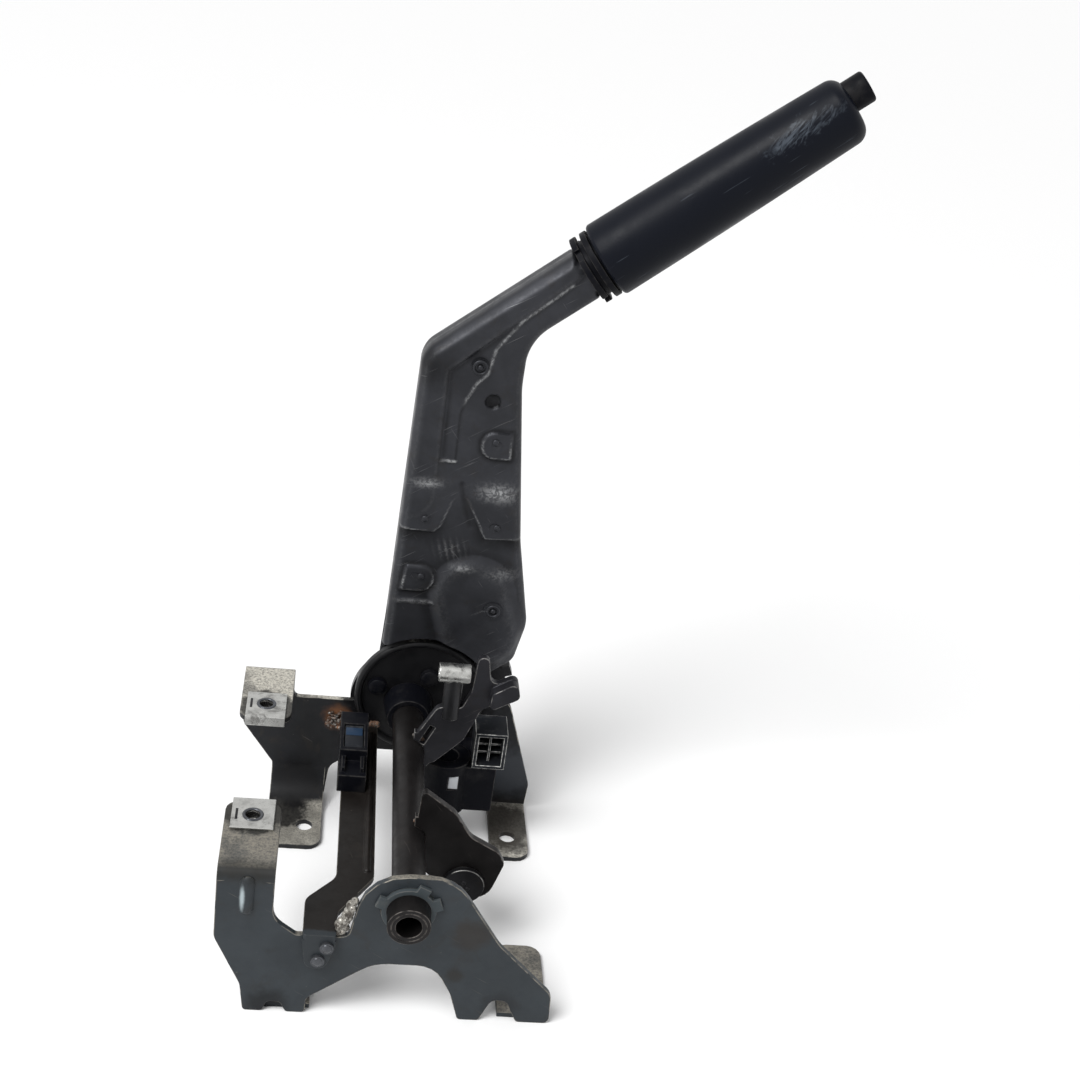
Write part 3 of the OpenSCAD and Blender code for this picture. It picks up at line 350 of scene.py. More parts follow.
def plated(name, base, dirt):
    """Zinc-plated steel: bright, slightly cloudy plating with grey bloom and grime in the low places."""
    made, tree, shader, place = blank(name)
    bloom = patches(tree, place, 5, (0.4, 0.7), (0.0, 0.55), 5, 0.65)
    grime = patches(tree, place, 9, (0.52, 0.68), (0.0, 0.6), 5, 0.7, 0.5)
    shade = add(tree, "mix", bloom, base, [c * 0.55 for c in base])
    grain = add(tree, "noise", place, per_mm(0.9), 3, 0.6)
    join(tree, shader, {"Base Color": add(tree, "mix", grime, shade, dirt), "Metallic": 0.95,
                        "Roughness": add(tree, "ramp", bloom, 0.0, 0.55, 0.26, 0.5),
                        "Normal": add(tree, "bump", grain, 0.03 * MM, 0.5)})
    return made


def moulded(name, base, rough, grain_mm, dust, scuff_code="#6d6a66", scuff_most=0.4):
    """Injection-moulded plastic: fine spark-eroded grain, satin gloss, some dust, pale scuffs on edges."""
    # The real grain is about 0.1 mm; it is drawn as coarse as it needs to be to show
    made, tree, shader, place = blank(name)
    dusty = patches(tree, place, 12, (0.48, 0.72), (0.0, dust), 5, 0.65)
    scuff = add(tree, "times", add(tree, "edge"), patches(tree, place, 3, (0.4, 0.55), (0.3, 1.0)))
    pale = add(tree, "most", dusty, add(tree, "times", scuff, scuff_most))
    grain = add(tree, "noise", place, per_mm(grain_mm), 2, 0.5)
    join(tree, shader, {"Base Color": add(tree, "mix", pale, base, linear(scuff_code)),
                        "Specular IOR Level": 0.07,
                        "Roughness": patches(tree, place, 7, (0.3, 0.7), (rough - 0.08, rough + 0.12)),
                        "Normal": add(tree, "bump", grain, 0.03 * MM, 0.6)})
    return made


def grip_skin(name, base):
    """Soft-touch moulded grip, worn by hands: deep blue-black, low sheen, polished patches and a pale scuff
    that also paints part of the highlight.
    """
    # The real grain is about 0.2 mm; it is drawn as coarse as it needs to be to show
    made, tree, shader, place = blank(name)
    polish = patches(tree, place, 30, (0.38, 0.64))
    marks = scratches(tree, place, (0.1, -0.7, 0.0), 26, 1.1, 0.69, 0.75)
    # The scuff is pale enough to stand for part of the grip's highlight as well
    along = add(tree, "turned", place, (0.0, -GRIP_ANGLE, 0.0), SCUFF_HIGHLIGHT_REACH * MM, grip_point(*SCUFF_HIGHLIGHT_PLACE))
    uneven = patches(tree, place, 5, (0.3, 0.7), (0.7, 1.5), rough=0.65)
    ragged = add(tree, "times", add(tree, "far", along), uneven)
    streaks = add(tree, "most", scratches(tree, place, (0.0, -0.95, 0.1), 9, 0.9, 0.42, 0.64),
                  scratches(tree, place, (0.1, -1.35, 0.0), 7, 0.8, 0.5, 0.68))
    scuff_and_highlight = add(tree, "times", add(tree, "ramp", ragged, 0.25, 1.0, 1.0, 0.0), streaks)
    pale = add(tree, "most", add(tree, "times", marks, 0.25), add(tree, "times", scuff_and_highlight, 0.6))
    dull = add(tree, "less", add(tree, "ramp", polish, 0.0, 1.0, 0.46, 0.34),
               add(tree, "times", scuff_and_highlight, 0.2))
    grain = add(tree, "less", add(tree, "noise", place, per_mm(1.1), 3, 0.5),
                add(tree, "times", scuff_and_highlight, 0.9))
    join(tree, shader, {"Base Color": add(tree, "mix", pale, base, linear("#565d66")),
                        "Specular IOR Level": 0.1,
                        "Roughness": dull, "Normal": add(tree, "bump", grain, 0.06 * MM, 0.5)})
    return made


def weld_metal(name, base, rust, dirt):
    """Raw weld bead: ripples of grey steel with rust and pale flux in the toes."""
    made, tree, shader, place = blank(name)
    rusty = patches(tree, place, 3, (0.42, 0.6), detail=5, rough=0.7)
    flux = patches(tree, place, 1.4, (0.6, 0.7), (0.0, 0.8), 4, 0.7, 0.8)
    shade = add(tree, "mix", flux, add(tree, "mix", rusty, base, rust), linear("#b9b2a4"))
    soot = patches(tree, place, 6, (0.5, 0.66), (0.0, 0.7))
    grain = add(tree, "noise", place, per_mm(0.8), 4, 0.65)
    join(tree, shader, {"Base Color": add(tree, "mix", soot, shade, dirt),
                        "Metallic": add(tree, "ramp", rusty, 0.0, 1.0, 0.7, 0.1),
                        "Roughness": add(tree, "ramp", rusty, 0.0, 1.0, 0.36, 0.8),
                        "Normal": add(tree, "bump", grain, 0.12 * MM, 0.7)})
    return made


FINISHES = {}


def shadow_round_clip(node):
    """Painted shadow that shows as a dark line round a clip nut."""
    low, high = (Vector(corner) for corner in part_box(node))
    return (Vector(((low.x + high.x) / 2, (low.y + high.y) / 2, high.z - 1.5 * MM)),
            12.5, 16, linear("#141311"), 0.9)


def make_finishes():
    """Makes every finish once, by the record's slot names and a few more."""
    c = {k: tuple(getattr(colours(), k)) for k in LeverColours.__annotations__}
    dirt, grease = c["dirt"], c["grease"]
    # Each of the stains, painted highlights and painted shade: its middle, where it is full and where it ends
    # in millimetres, colour, strength, squeeze
    near = ((lever_plane(30, NEAR_Y, -13), 5, 12, linear("#2b2724"), 0.75),
            (lever_plane(25, NEAR_Y, -38), 2, 6, linear("#24221f"), 0.7),
            (lever_plane(-50, NEAR_Y, -30), 4, 18, linear("#23282c"), 0.5),
            # Painted highlight on the left flank of the bead on the bracket's neck
            (frame_point(-80.2, NEAR_Y - 1.5, 68), 0.3, 1.7, linear("#a3afb3"), 0.9, (1.0, 0.5, 0.16)),
            (frame_point(-66, NEAR_Y, 4), 4, 14, linear("#121417"), 0.85),
            (frame_point(43, NEAR_Y, 9), 4, 13, linear("#1a1c1f"), 0.65),
            # Painted shade on the near tab's rounded bend
            (frame_point(-79, NEAR_Y + 2, 84), 2, 11, linear("#211f1b"), 0.75, (0.15, 1.0, 1.0)),
            shadow_round_clip("near_clip_nut"))
    weld_rust = (lever_plane(STRAP_X - 13, FAR_FRONT, STRAP_Z + 3), 3, 10, c["rust"], 0.8)
    # Dark lubricant round the pivot, made darker still as painted shade on the far bracket's head
    far = ((lever_plane(6, FAR_FRONT, 5), 36, 46, grease, 0.97),
           weld_rust,
           # Painted shade on the curved sweep down to the far bracket's left foot
           (frame_point(-68, 60, 5), 11, 17, grease, 0.95),
           (frame_point(-75, 46, 3), 4, 9, grease, 0.9),
           (frame_point(-61, 77, 10), 10, 18, grease, 0.8),
           (frame_point(52, 60, 3), 14, 26, dirt, 0.92),
           # Lighter patch on the far bracket's right leg
           (frame_point(57, FAR_FRONT, 24), 8, 22, linear("#3d4045"), 0.9),
           shadow_round_clip("far_clip_nut"))
    flap = (lever_plane(STRAP_X - 13.4, NEAR_Y - 3, STRAP_Z - 10), 9, 12, c["bracket"], 0.9, (0.6, 2.2, 0.6))
    FINISHES.update({
        "bracket_paint": painted_sheet("Painted steel blue-grey", c["bracket"], c["bare"],
                                       dirt, 0.75, 0.3, True, near),
        "far_bracket_paint": painted_sheet("Painted steel dark", c["far_bracket"], c["far_bare"],
                                           dirt, 0.5, 0.5, True, far),
        "strap_paint": painted_sheet("Painted strap brown-grey", c["strap"], c["bare"],
                                     dirt, 0.35, 0.3, False, (weld_rust, flap)),
        "lever_steel": satin_steel("Satin pressed steel", c["lever"], linear("#a9aaab"), dirt, (0.36, 0.54)),
        "tube_steel": satin_steel("Drawn tube steel", c["tube"], linear("#6f6a66"), dirt, (0.36, 0.58)),
        "arm_steel": satin_steel("Pressed arm steel", linear("#2b2b2f"), linear("#8a8886"),
                                 dirt, (0.36, 0.58)),
        "hard_steel": satin_steel("Oiled hardened steel", c["oiled"], linear("#9a9996"), dirt, (0.3, 0.48)),
        "rivet_steel": satin_steel("Upset rivet steel", linear("#4c4e52"), linear("#b0afac"),
                                   dirt, (0.2, 0.34)),
        "zinc": plated("Zinc plated steel", c["zinc"], dirt),
        "bush_plastic": moulded("Acetal bush", c["bush"], 0.4, 1.2, 0.3),
        "black_plastic": moulded("Glass-filled nylon black", c["plastic"], 0.46, 0.8, 0.06, scuff_most=0.16),
        "socket_plastic": moulded("Nylon socket with pale rim", c["socket"], 0.42, 0.9, 0.1, "#d4d4d0", 0.9),
        "grip_plastic": grip_skin("Soft-touch grip skin", c["grip"]),
        "weld": weld_metal("Weld bead", linear("#6e6a66"), c["rust"], dirt),
        "bright_weld": weld_metal("Bright weld bead", linear("#a3a099"), linear("#45403a"), dirt),
        "window": moulded("Blue-grey latch window", c["window"], 0.28, 2.0, 0.1),
        "label": moulded("Pale guide window", c["label"], 0.4, 2.0, 0.2),
    })


# Mesh helpers

FAR_AWAY = 1e9
SAME_PLACE = 1e-12
SOFTENED_FROM = math.radians(38)
SHARP_TURNED = math.radians(40)


def flat(u, w):
    """Place in the lever's plane, given from the pivot axis."""
    return np.array((u, w), float)


def on_grip(s, p):
    """Place along the grip's axis and above it, from the pivot axis."""
    c, n = math.cos(GRIP_ANGLE), math.sin(GRIP_ANGLE)
    return flat(GRIP_REAR[0] + s * c - p * n, GRIP_REAR[1] + s * n + p * c)


def grip_point(s, p, y=0.0):
    """The same place as a point of the frame, in metres."""
    u, w = on_grip(s, p)
    return Vector((AXIS.x + u, LEVER_Y + y, AXIS.z + w)) * MM


def grip_axis():
    """Direction of the grip, from its rear to its nose."""
    return (grip_point(1, 0) - grip_point(0, 0)).normalized()


def lever_plane(u, y, w):
    """Point of the frame from the pivot axis and a depth y, all in millimetres."""
    return Vector((AXIS.x + u, y, AXIS.z + w)) * MM


def frame_point(x, y, z):
    """Point of the frame from millimetres."""
    return Vector((x, y, z)) * MM


def rounded(corners, fine=1.0):
    """Closed anticlockwise outline with round corners from (x, z, radius)."""
    out = []
    n = len(corners)
    for i, (x, z, r) in enumerate(corners):
        p = flat(x, z)
        a = flat(*corners[i - 1][:2])
        b = flat(*corners[(i + 1) % n][:2])
        d1 = (p - a) / np.linalg.norm(p - a)
        d2 = (b - p) / np.linalg.norm(b - p)
        cross = d1[0] * d2[1] - d1[1] * d2[0]
        turn = math.acos(max(-1.0, min(1.0, float(d1 @ d2))))
        side = 1.0 if cross >= 0 else -1.0
        start = p - d1 * r * math.tan(turn / 2)
        centre = start + side * r * np.array((-d1[1], d1[0]))
        steps = max(2, int(r * turn / fine))
        for k in range(steps + 1):
            t = side * turn * k / steps
            v = start - centre
            out.append(centre + (v[0] * math.cos(t) - v[1] * math.sin(t),
                                 v[0] * math.sin(t) + v[1] * math.cos(t)))
    return np.array(out)


def dense(points, step):
    """Closed outline with extra points so that no side is longer than step."""
    out = []
    for a, b in zip(points, np.roll(points, -1, axis=0)):
        gap = np.linalg.norm(b - a)
        if gap < 1e-6:
            continue
        count = max(1, int(math.ceil(gap / step)))
        out += [a + (b - a) * k / count for k in range(count)]
    return np.array(out)


def from_side(points, p, q):
    """Distance of points from the straight side between two places."""
    d = q - p
    t = np.clip(((points - p) @ d) / (d @ d), 0, 1)
    return np.hypot(*(points - p - t[:, None] * d).T)


def depth_inside(points, outline):
    """Distance of points from an outline, positive inside it."""
    best = np.full(len(points), FAR_AWAY)
    inside = np.zeros(len(points), bool)
    for p, q in zip(outline, np.roll(outline, -1, axis=0)):
        if (q - p) @ (q - p) < SAME_PLACE:
            continue
        best = np.minimum(best, from_side(points, p, q))
        if q[1] != p[1]:
            crossing = (p[1] > points[:, 1]) != (q[1] > points[:, 1])
            inside ^= crossing & (points[:, 0] < (q[0] - p[0]) * (points[:, 1] - p[1]) / (q[1] - p[1]) + p[0])
    return np.where(inside, best, -best)


def depth_in_stroke(points, path, r):
    """Distance inside a stroke of half width r along a path."""
    return r - np.minimum.reduce([from_side(points, p, q) for p, q in zip(path, path[1:])])


def smooth(x):
    """Smooth step from 0 to 1."""
    x = np.clip(x, 0, 1)
    return x * x * (3 - 2 * x)


def link(name, data):
    """New object at the origin, in the scene."""
    made = bpy.data.objects.new(name, data)
    bpy.context.scene.collection.objects.link(made)
    return made


def show(name, mesh, material):
    """Object for a mesh, smooth shaded in one material."""
    mesh.materials.append(material)
    mesh.shade_smooth()
    return link(name, mesh)


def mesh_object(name, verts, faces, material, attributes=None):
    """Object from points in metres, with point attributes."""
    mesh = bpy.data.meshes.new(name)
    mesh.from_pydata([tuple(v) for v in verts], [], faces)
    for key, values in (attributes or {}).items():
        layer = mesh.attributes.new(key, "FLOAT", "POINT")
        layer.data.foreach_set("value", np.asarray(values, np.float32))
    return show(name, mesh, material)


def from_bmesh(name, bm, material):
    """Object from an edited mesh, which is freed."""
    mesh = bpy.data.meshes.new(name)
    bm.to_mesh(mesh)
    bm.free()
    return show(name, mesh, material)


def settle(obj):
    """Turns an object with its modifiers into one plain mesh."""
    graph = bpy.context.evaluated_depsgraph_get()
    final = bpy.data.meshes.new_from_object(obj.evaluated_get(graph))
    old = obj.data
    obj.modifiers.clear()
    obj.data = final
    final.name = obj.name
    if old.users == 0:
        bpy.data.meshes.remove(old)
    return obj


def place_piece(obj, body, slot, *nodes):
    """Rides a piece on its body and hides the nodes it stands for; its slot is not used."""
    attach(obj, body)
    if nodes:
        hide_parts(*nodes)
    return obj


def soften(node, width_mm, material):
    """Copy of a solid with softened edges; the new faces on outer edges carry the wear attribute."""
    bm = bmesh.new()
    bm.from_mesh(frame["nodes"][node].data)
    bmesh.ops.remove_doubles(bm, verts=bm.verts, dist=2e-6)
    surface = BVHTree.FromBMesh(bm)
    limits = [[pick(v.co[i] for v in bm.verts) for i in range(3)] for pick in (min, max)]
    layer = bm.faces.layers.float.new("edge")
    sharp = [e for e in bm.edges if len(e.link_faces) == 2 and e.calc_face_angle() > SOFTENED_FROM]
    made = bmesh.ops.bevel(bm, geom=sharp, offset=width_mm * MM, offset_type="OFFSET", segments=2,
                           profile=0.5, affect="EDGES", clamp_overlap=False)
    # Points that the bevel threw off the solid go back to it, and none leaves its box
    for vert in bm.verts:
        nearest, _, _, off = surface.find_nearest(vert.co)
        if off > 0.75 * width_mm * MM:
            vert.co = nearest
        vert.co = [min(max(c, low), high) for c, low, high in zip(vert.co, *limits)]
    for face in made["faces"]:
        middle = face.calc_center_median()
        nearest, out, _, _ = surface.find_nearest(middle)
        face[layer] = 1.0 if (middle - nearest).dot(out) < 0 else 0.0
    bmesh.ops.triangulate(bm, faces=[f for f in bm.faces if len(f.verts) > 4], ngon_method="EAR_CLIP")
    piece = from_bmesh(node + "_soft", bm, material)
    piece.data.set_sharp_from_angle(angle=math.radians(50))
    piece.modifiers.new("Even normals", "WEIGHTED_NORMAL").keep_sharp = True
    return settle(piece)


def lathe(profile, origin, axis, count):
    """Points and faces of a closed profile turned about an axis; the profile is (radius, along) in mm."""
    axis = axis.normalized()
    side = axis.orthogonal().normalized()
    other = axis.cross(side)
    verts = []
    for k in range(count):
        a = 2 * math.pi * k / count
        out = side * math.cos(a) + other * math.sin(a)
        verts += [origin + (out * r + axis * h) * MM for r, h in profile]
    n = len(profile)
    faces = []
    for k in range(count):
        m = (k + 1) % count
        faces += [(k * n + i, m * n + i, m * n + (i + 1) % n, k * n + (i + 1) % n) for i in range(n)]
    return verts, faces


def face_outwards(obj):
    """Merges doubles and recalculates the normals of a closed mesh."""
    bm = bmesh.new()
    bm.from_mesh(obj.data)
    bmesh.ops.remove_doubles(bm, verts=bm.verts, dist=1e-6)
    bmesh.ops.recalc_face_normals(bm, faces=bm.faces)
    bm.to_mesh(obj.data)
    bm.free()
    return obj


def turned_piece(name, profile, origin, axis, count, material):
    """Closed piece turned from a profile about an axis."""
    return face_outwards(mesh_object(name, *lathe(profile, origin, axis, count), material))


def round_edge(r, along, soft, start, count):
    """Quarter round of a profile: outer radius, its middle along the axis, own radius, first angle."""
    turns = [math.radians(start + 90 * k / count) for k in range(count + 1)]
    return [(r - soft + soft * math.cos(a), along + soft * math.sin(a)) for a in turns]


def ring_profile(r, half_wide, half_high, count=12):
    """Oval section of a ring of radius r."""
    turns = [2 * math.pi * k / count for k in range(count)]
    return [(r + half_wide * math.cos(a), half_high * math.sin(a)) for a in turns]


# Lever shells

def elbow():
    """Outer corner of the elbow."""
    s = (-12 - GRIP_REAR[0] + ARM_HALF * math.sin(GRIP_ANGLE)) / math.cos(GRIP_ANGLE)
    return on_grip(s, ARM_HALF)


def lever_corners():
    """Corners of the lever arm's outline with their radii."""
    return [(-20, -20, 19.9), (20, -20, 19.9), (20, 6, 10), (53, 33, 9), (57.5, 56, 20), (48, 105, 60),
            (38, 190, 60), (*on_grip(-51, -ARM_HALF), 26), (*on_grip(TONGUE_START, -ARM_HALF), 2),
            (*on_grip(TONGUE_START, -TONGUE_HALF), 0.5), (*on_grip(TONGUE_END, -TONGUE_HALF), 1),
            (*on_grip(TONGUE_END, TONGUE_HALF), 1), (*on_grip(TONGUE_START, TONGUE_HALF), 0.5),
            (*on_grip(TONGUE_START, ARM_HALF), 2), (*elbow(), 15), (-16.5, 50, 20), (-17.5, 30, 10)]


# Pressed tabs that clinch the shells: corners with radii, from the pivot axis
CLINCH_TABS = (
    ((21, 151.8, 7), (37, 151.8, 1), (36.5, 167, 1), (21, 167, 7)),
    ((-11.6, 73, 1), (6, 73, 7.4), (6, 89, 7.4), (-9.5, 88.5, 1)),
)
# Waist plate between the arm and the boss, notched in the middle
WAIST = ((-30, 109.2, 1), (3, 108.2, 1), (6.5, 112, 2), (14, 135, 4), (24.8, 113.8, 2), (28.3, 106.5, 1),
         (70, 107.5, 1), (70, 160, 1), (-30, 160, 1))
# Strokes on the shells, each a path with its half width
CHANNEL = ((-13.55, 130), on_grip(-97.9, 12.6), on_grip(-18, 17.2)), 16.0
BOSS = ((26.0, 73.5), (33.0, 50.0)), 23.0
# Sharp fold that parts the arm's channel from its panel
FOLD = ((9.3, 150), (9.1, 175), (10.8, 181.5), (15.1, 191.3), (20.1, 197.1), (22.7, 210.4), (33.4, 226.1),
        (44.6, 236.5), (55, 246.4)), 1.1
FOOT_BEAD = ((-14, 66.5), (6, 66.5)), 2.2
LEDGE = ((2.8, 148.9), (9.2, 148.9)), 1.3
CREASE = ((14, 136), (17, 124), (20.7, 113)), 2.4
DIMPLE = (24.4, 182.6, 4.2)
# Speckled bright spots, bare metal and painted highlight: how bright, place and reach
SPECKLES = ((0.7, -3, 136.5, 6, 2.2), (0.75, 33, 133.5, 8, 4), (0.5, 20, 89.5, 5, 1.8), (0.25, 40, 87, 8, 3))
CHANNEL_RISE = 1.7
TAB_RISE = 1.6
TAB_SLOPE = 0.9
WAIST_RISE = 1.7
BOSS_RISE = 3.0
BOSS_SLOPE = 6.5
# Rows of points along the rolled edge, by their distance from the outline, and where the even grid starts
EDGE_ROWS = (0.25, 0.6, 1.1, 1.8, 2.7, 3.7, 4.8)
GRID_FROM = 5.4
WALL_STEPS = 3
ARCH_STEPS = 64


def patch(points, u, w, reach_u, reach_w):
    """Soft round patch about a place."""
    return np.exp(-((points[:, 0] - u) / reach_u) ** 2 - ((points[:, 1] - w) / reach_w) ** 2)


def stroke_depth(points, stroke):
    """Distance inside one of the strokes above."""
    path, r = stroke
    return depth_in_stroke(points, [flat(*p) for p in path], r)


def ridge(points, stroke):
    """Rounded rise along one of the strokes above, from 0 to 1."""
    return smooth(stroke_depth(points, stroke) / stroke[1])


def shell_height(points, outline):
    """Height of a shell's outer face above the lever's mid plane, its worn places with painted highlights,
    and the painted shade in its corners.
    """
    x, z = points.T
    deep = depth_inside(points, outline)
    roll = np.clip(SHELL_EDGE - deep, 0, SHELL_EDGE)
    height = PANEL_HALF - SHELL_EDGE + np.sqrt(np.maximum(SHELL_EDGE ** 2 - roll ** 2, 0))
    # Where forms may be: clear of the rolled edge, or right up to it
    inner = smooth((deep - 0.6) / 4.0)
    to_edge = smooth((deep + 0.5) / 1.5)
    slope = sizes().relief_slope / MM
    rub = 0.05 * smooth((deep - 1.2) / 1.5) * smooth((4.2 - deep) / 2.0)
    waist, *tabs = (depth_inside(points, rounded(corners, 0.8)) for corners in (WAIST, *CLINCH_TABS))
    # The waist plate lifts towards its lower edge but not in the middle, and the channel starts above it
    lift = smooth((149 - z) / 22)
    start = smooth((z - 122) / 32)
    aside = 1 - np.exp(-((x - 14.5) / 9) ** 2)
    # Each form: depth inside it, rise, width of its slope, where it may be, shine of its edge as worn metal
    # and painted highlight, reach and depth of the painted shade round it
    channel, boss = stroke_depth(points, CHANNEL), stroke_depth(points, BOSS)
    forms = [(channel, CHANNEL_RISE * start, slope, inner, 0.04, 3.0, 0.55 * smooth((z - 148) / 4)),
             (boss, BOSS_RISE, BOSS_SLOPE, inner, 0.05, 8.0, 0.5),
             (waist, WAIST_RISE * lift * aside, TAB_SLOPE, to_edge, 0.6 * lift * aside, 11.0,
              0.8 * lift * aside)]
    pressed = len(forms)
    forms += [(tab, TAB_RISE, TAB_SLOPE, to_edge, 0.8, 3.0, 0.8) for tab in tabs]
    soot = np.zeros(len(x))
    for index, (depth, rise, width, within, shine, reach, dark) in enumerate(forms):
        step = smooth(depth / width)
        height = height + rise * step * within
        # Tabs get their painted highlight on their lower side only
        below = 1.0 if index < pressed else smooth((np.max(z[depth > 0]) - z) / 14)
        lip = smooth((depth / width - 0.3) / 1.4)
        rub = np.maximum(rub, 4 * lip * (1 - lip) * within * shine * below)
        # Painted shade in the ditch just outside each form
        soot = np.maximum(soot, smooth(1 + depth / reach) * (1 - smooth((depth + 0.3) / 0.6)) * dark * within)
    # Small forms, and the faint waves that the press leaves in the panel
    dimple = smooth((DIMPLE[2] - np.hypot(x - DIMPLE[0], z - DIMPLE[1])) / 0.9)
    fold, foot, ledge, crease = (ridge(points, stroke) for stroke in (FOLD, FOOT_BEAD, LEDGE, CREASE))
    # The fold is a painted highlight high up and a painted shadow lower down
    highlit_fold = smooth((z - 178) / 8)
    ripples = np.sin((x * 0.9 + z * 0.25) * 2.1) * patch(points, 12, 99, 6, 4.5)
    wavy = np.sin(x / 7.3 + z / 19.0) * np.sin(z / 11.7 - x / 23.0)
    height = height + inner * (0.5 * fold + 0.5 * foot + 0.8 * ledge - 0.5 * crease + 0.3 * ripples
                               + 0.12 * wavy - 0.12 - 2.0 * dimple)
    # Painted highlights on the fold, the foot bead, the ledge and the crests of the ripples
    shine = np.maximum.reduce((0.6 * fold * highlit_fold, 0.3 * foot, 0.9 * ledge, 0.3 * np.maximum(ripples, 0)))
    speckled = np.maximum.reduce([share * patch(points, *where) for share, *where in SPECKLES])
    # Painted shade just inside the elbow's corner, which dims its highlight
    corner = 0.6 * patch(points, *(elbow() + (6, -7)), 11, 11)
    # Painted shade in the dimple, along the lower fold and the crease, and in the elbow's corner
    soot = np.maximum.reduce((soot, 0.85 * dimple, 0.6 * fold * (1 - highlit_fold), 0.5 * crease, corner))
    return height, np.clip(np.maximum.reduce((rub, shine * inner, speckled)), 0, 1), np.clip(soot, 0, 1)


def near_border(outline):
    """Near shell's border: the outline above the arch, and which of its points lie on the outline."""
    x, z, r = ARCH
    keep = (np.hypot(outline[:, 0] - x, outline[:, 1] - z) > r) & (outline[:, 1] > z)
    start = next(i for i in range(len(keep)) if keep[i] and not keep[i - 1])
    rolled = np.roll(outline, -start, axis=0)
    rolled = rolled[:int(np.argmin(np.roll(keep, -start)))] if not keep.all() else rolled
    first = math.atan2(rolled[-1][1] - z, rolled[-1][0] - x)
    last = math.atan2(rolled[0][1] - z, rolled[0][0] - x)
    turns = [first + (last - first) * k / ARCH_STEPS for k in range(1, ARCH_STEPS)]
    arc = [(x + r * math.cos(a), z + r * math.sin(a)) for a in turns]
    return np.vstack((rolled, arc)), np.array([True] * len(rolled) + [False] * len(arc))


def circle(x, z, r, count=40):
    """Circle of points."""
    turns = [2 * math.pi * k / count for k in range(count)]
    return np.array([(x + r * math.cos(a), z + r * math.sin(a)) for a in turns])


def face_points(outline, border, holes):
    """Free points of a shell's face: rows along its edge and a grid inside, clear of border and holes."""
    grid = sizes().shell_grid / MM
    tangent = np.roll(outline, -1, axis=0) - np.roll(outline, 1, axis=0)
    normal = np.stack((-tangent[:, 1], tangent[:, 0]), 1) / np.linalg.norm(tangent, axis=1)[:, None]
    free = []
    for t in EDGE_ROWS:
        row = outline + normal * t
        free.append(row[depth_inside(row, outline) > t - 0.03])
    lo, hi = outline.min(0), outline.max(0)
    cells = []
    for k, z in enumerate(np.arange(lo[1], hi[1], grid * 0.866)):
        across = np.arange(lo[0] + (k % 2) * grid / 2, hi[0], grid)
        cells.append(np.stack((across, np.full(len(across), z)), 1))
    cells = np.vstack(cells)
    free = np.vstack((*free, cells[depth_inside(cells, outline) > GRID_FROM]))
    clear = depth_inside(free, border) > 0.2
    for x, z, r in holes:
        clear &= np.hypot(free[:, 0] - x, free[:, 1] - z) > r + 0.4
    return free[clear]


def pressed_shell(name, side, border, on_outline, outline, holes):
    """Pressed half of the lever: a face with its relief, a rolled edge and a wall, thickened inwards."""
    loops = [border] + [circle(*h) for h in holes]
    edges, at = [], 0
    for loop in loops:
        edges += [(at + i, at + (i + 1) % len(loop)) for i in range(len(loop))]
        at += len(loop)
    points = np.vstack((*loops, face_points(outline, border, holes)))
    made = delaunay_2d_cdt([Vector(p) for p in points], edges, [], 1, 1e-5)
    flat_points = np.array([tuple(v) for v in made[0]])
    faces = []
    for tri in made[2]:
        centre = flat_points[list(tri)].mean(0)
        if not any(np.hypot(centre[0] - x, centre[1] - z) < r for x, z, r in holes):
            faces.append(tuple(tri))
    height, rub, soot = shell_height(flat_points, outline)
    origin_of = {old: new for new, olds in enumerate(made[3]) for old in olds}
    verts = [(u, h, w) for (u, w), h in zip(flat_points, height)]
    rubs_and_highlights, painted_shades = list(rub), list(soot)
    wall = {}
    for i in np.nonzero(on_outline)[0]:
        top = origin_of[int(i)]
        u, w = flat_points[top]
        rim = SLOT_HALF if w < SLOT_TOP else 0.0
        column = [top]
        for k in range(1, WALL_STEPS + 1):
            column.append(len(verts))
            verts.append((u, height[top] + (rim - height[top]) * k / WALL_STEPS, w))
            rubs_and_highlights.append(0.25 if k == WALL_STEPS else 0.0)
            painted_shades.append(0.0)
        wall[int(i)] = column
    for i in range(len(border)):
        j = (i + 1) % len(border)
        if i in wall and j in wall:
            a, b = wall[i], wall[j]
            faces += [(a[k], a[k + 1], b[k + 1], b[k]) for k in range(WALL_STEPS)]
    if side > 0:
        faces = [tuple(reversed(f)) for f in faces]
    placed = [((AXIS.x + u) * MM, (LEVER_Y + side * h) * MM, (AXIS.z + w) * MM) for u, h, w in verts]
    shell = mesh_object(name, placed, faces, FINISHES["lever_steel"], {"rub": rubs_and_highlights, "soot": painted_shades})
    thick = shell.modifiers.new("Sheet", "SOLIDIFY")
    thick.thickness = SHELL_WALL * MM
    thick.offset = -1.0
    settle(shell)
    shell.data.set_sharp_from_angle(angle=math.radians(55))
    return shell


class BRAKELEVER_OT_lever_shells(bpy.types.Operator):
    """Presses the two shells of the lever arm"""
    bl_idname = "brakelever.lever_shells"
    bl_label = "Lever shells"

    def execute(self, context):
        outline = dense(rounded(lever_corners()), 1.3)
        border, rolled = near_border(outline)
        near = pressed_shell("lever_near_pressing", -1, border, rolled, outline, [])
        place_piece(near, "lever", "lever_steel", "lever_shell_near")
        far = pressed_shell("lever_far_pressing", 1, outline, np.ones(len(outline), bool), outline,
                            [(0.0, 0.0, TUBE_R + 0.03)])
        place_piece(far, "lever", "lever_steel", "lever_shell_far")
        return {"FINISHED"}


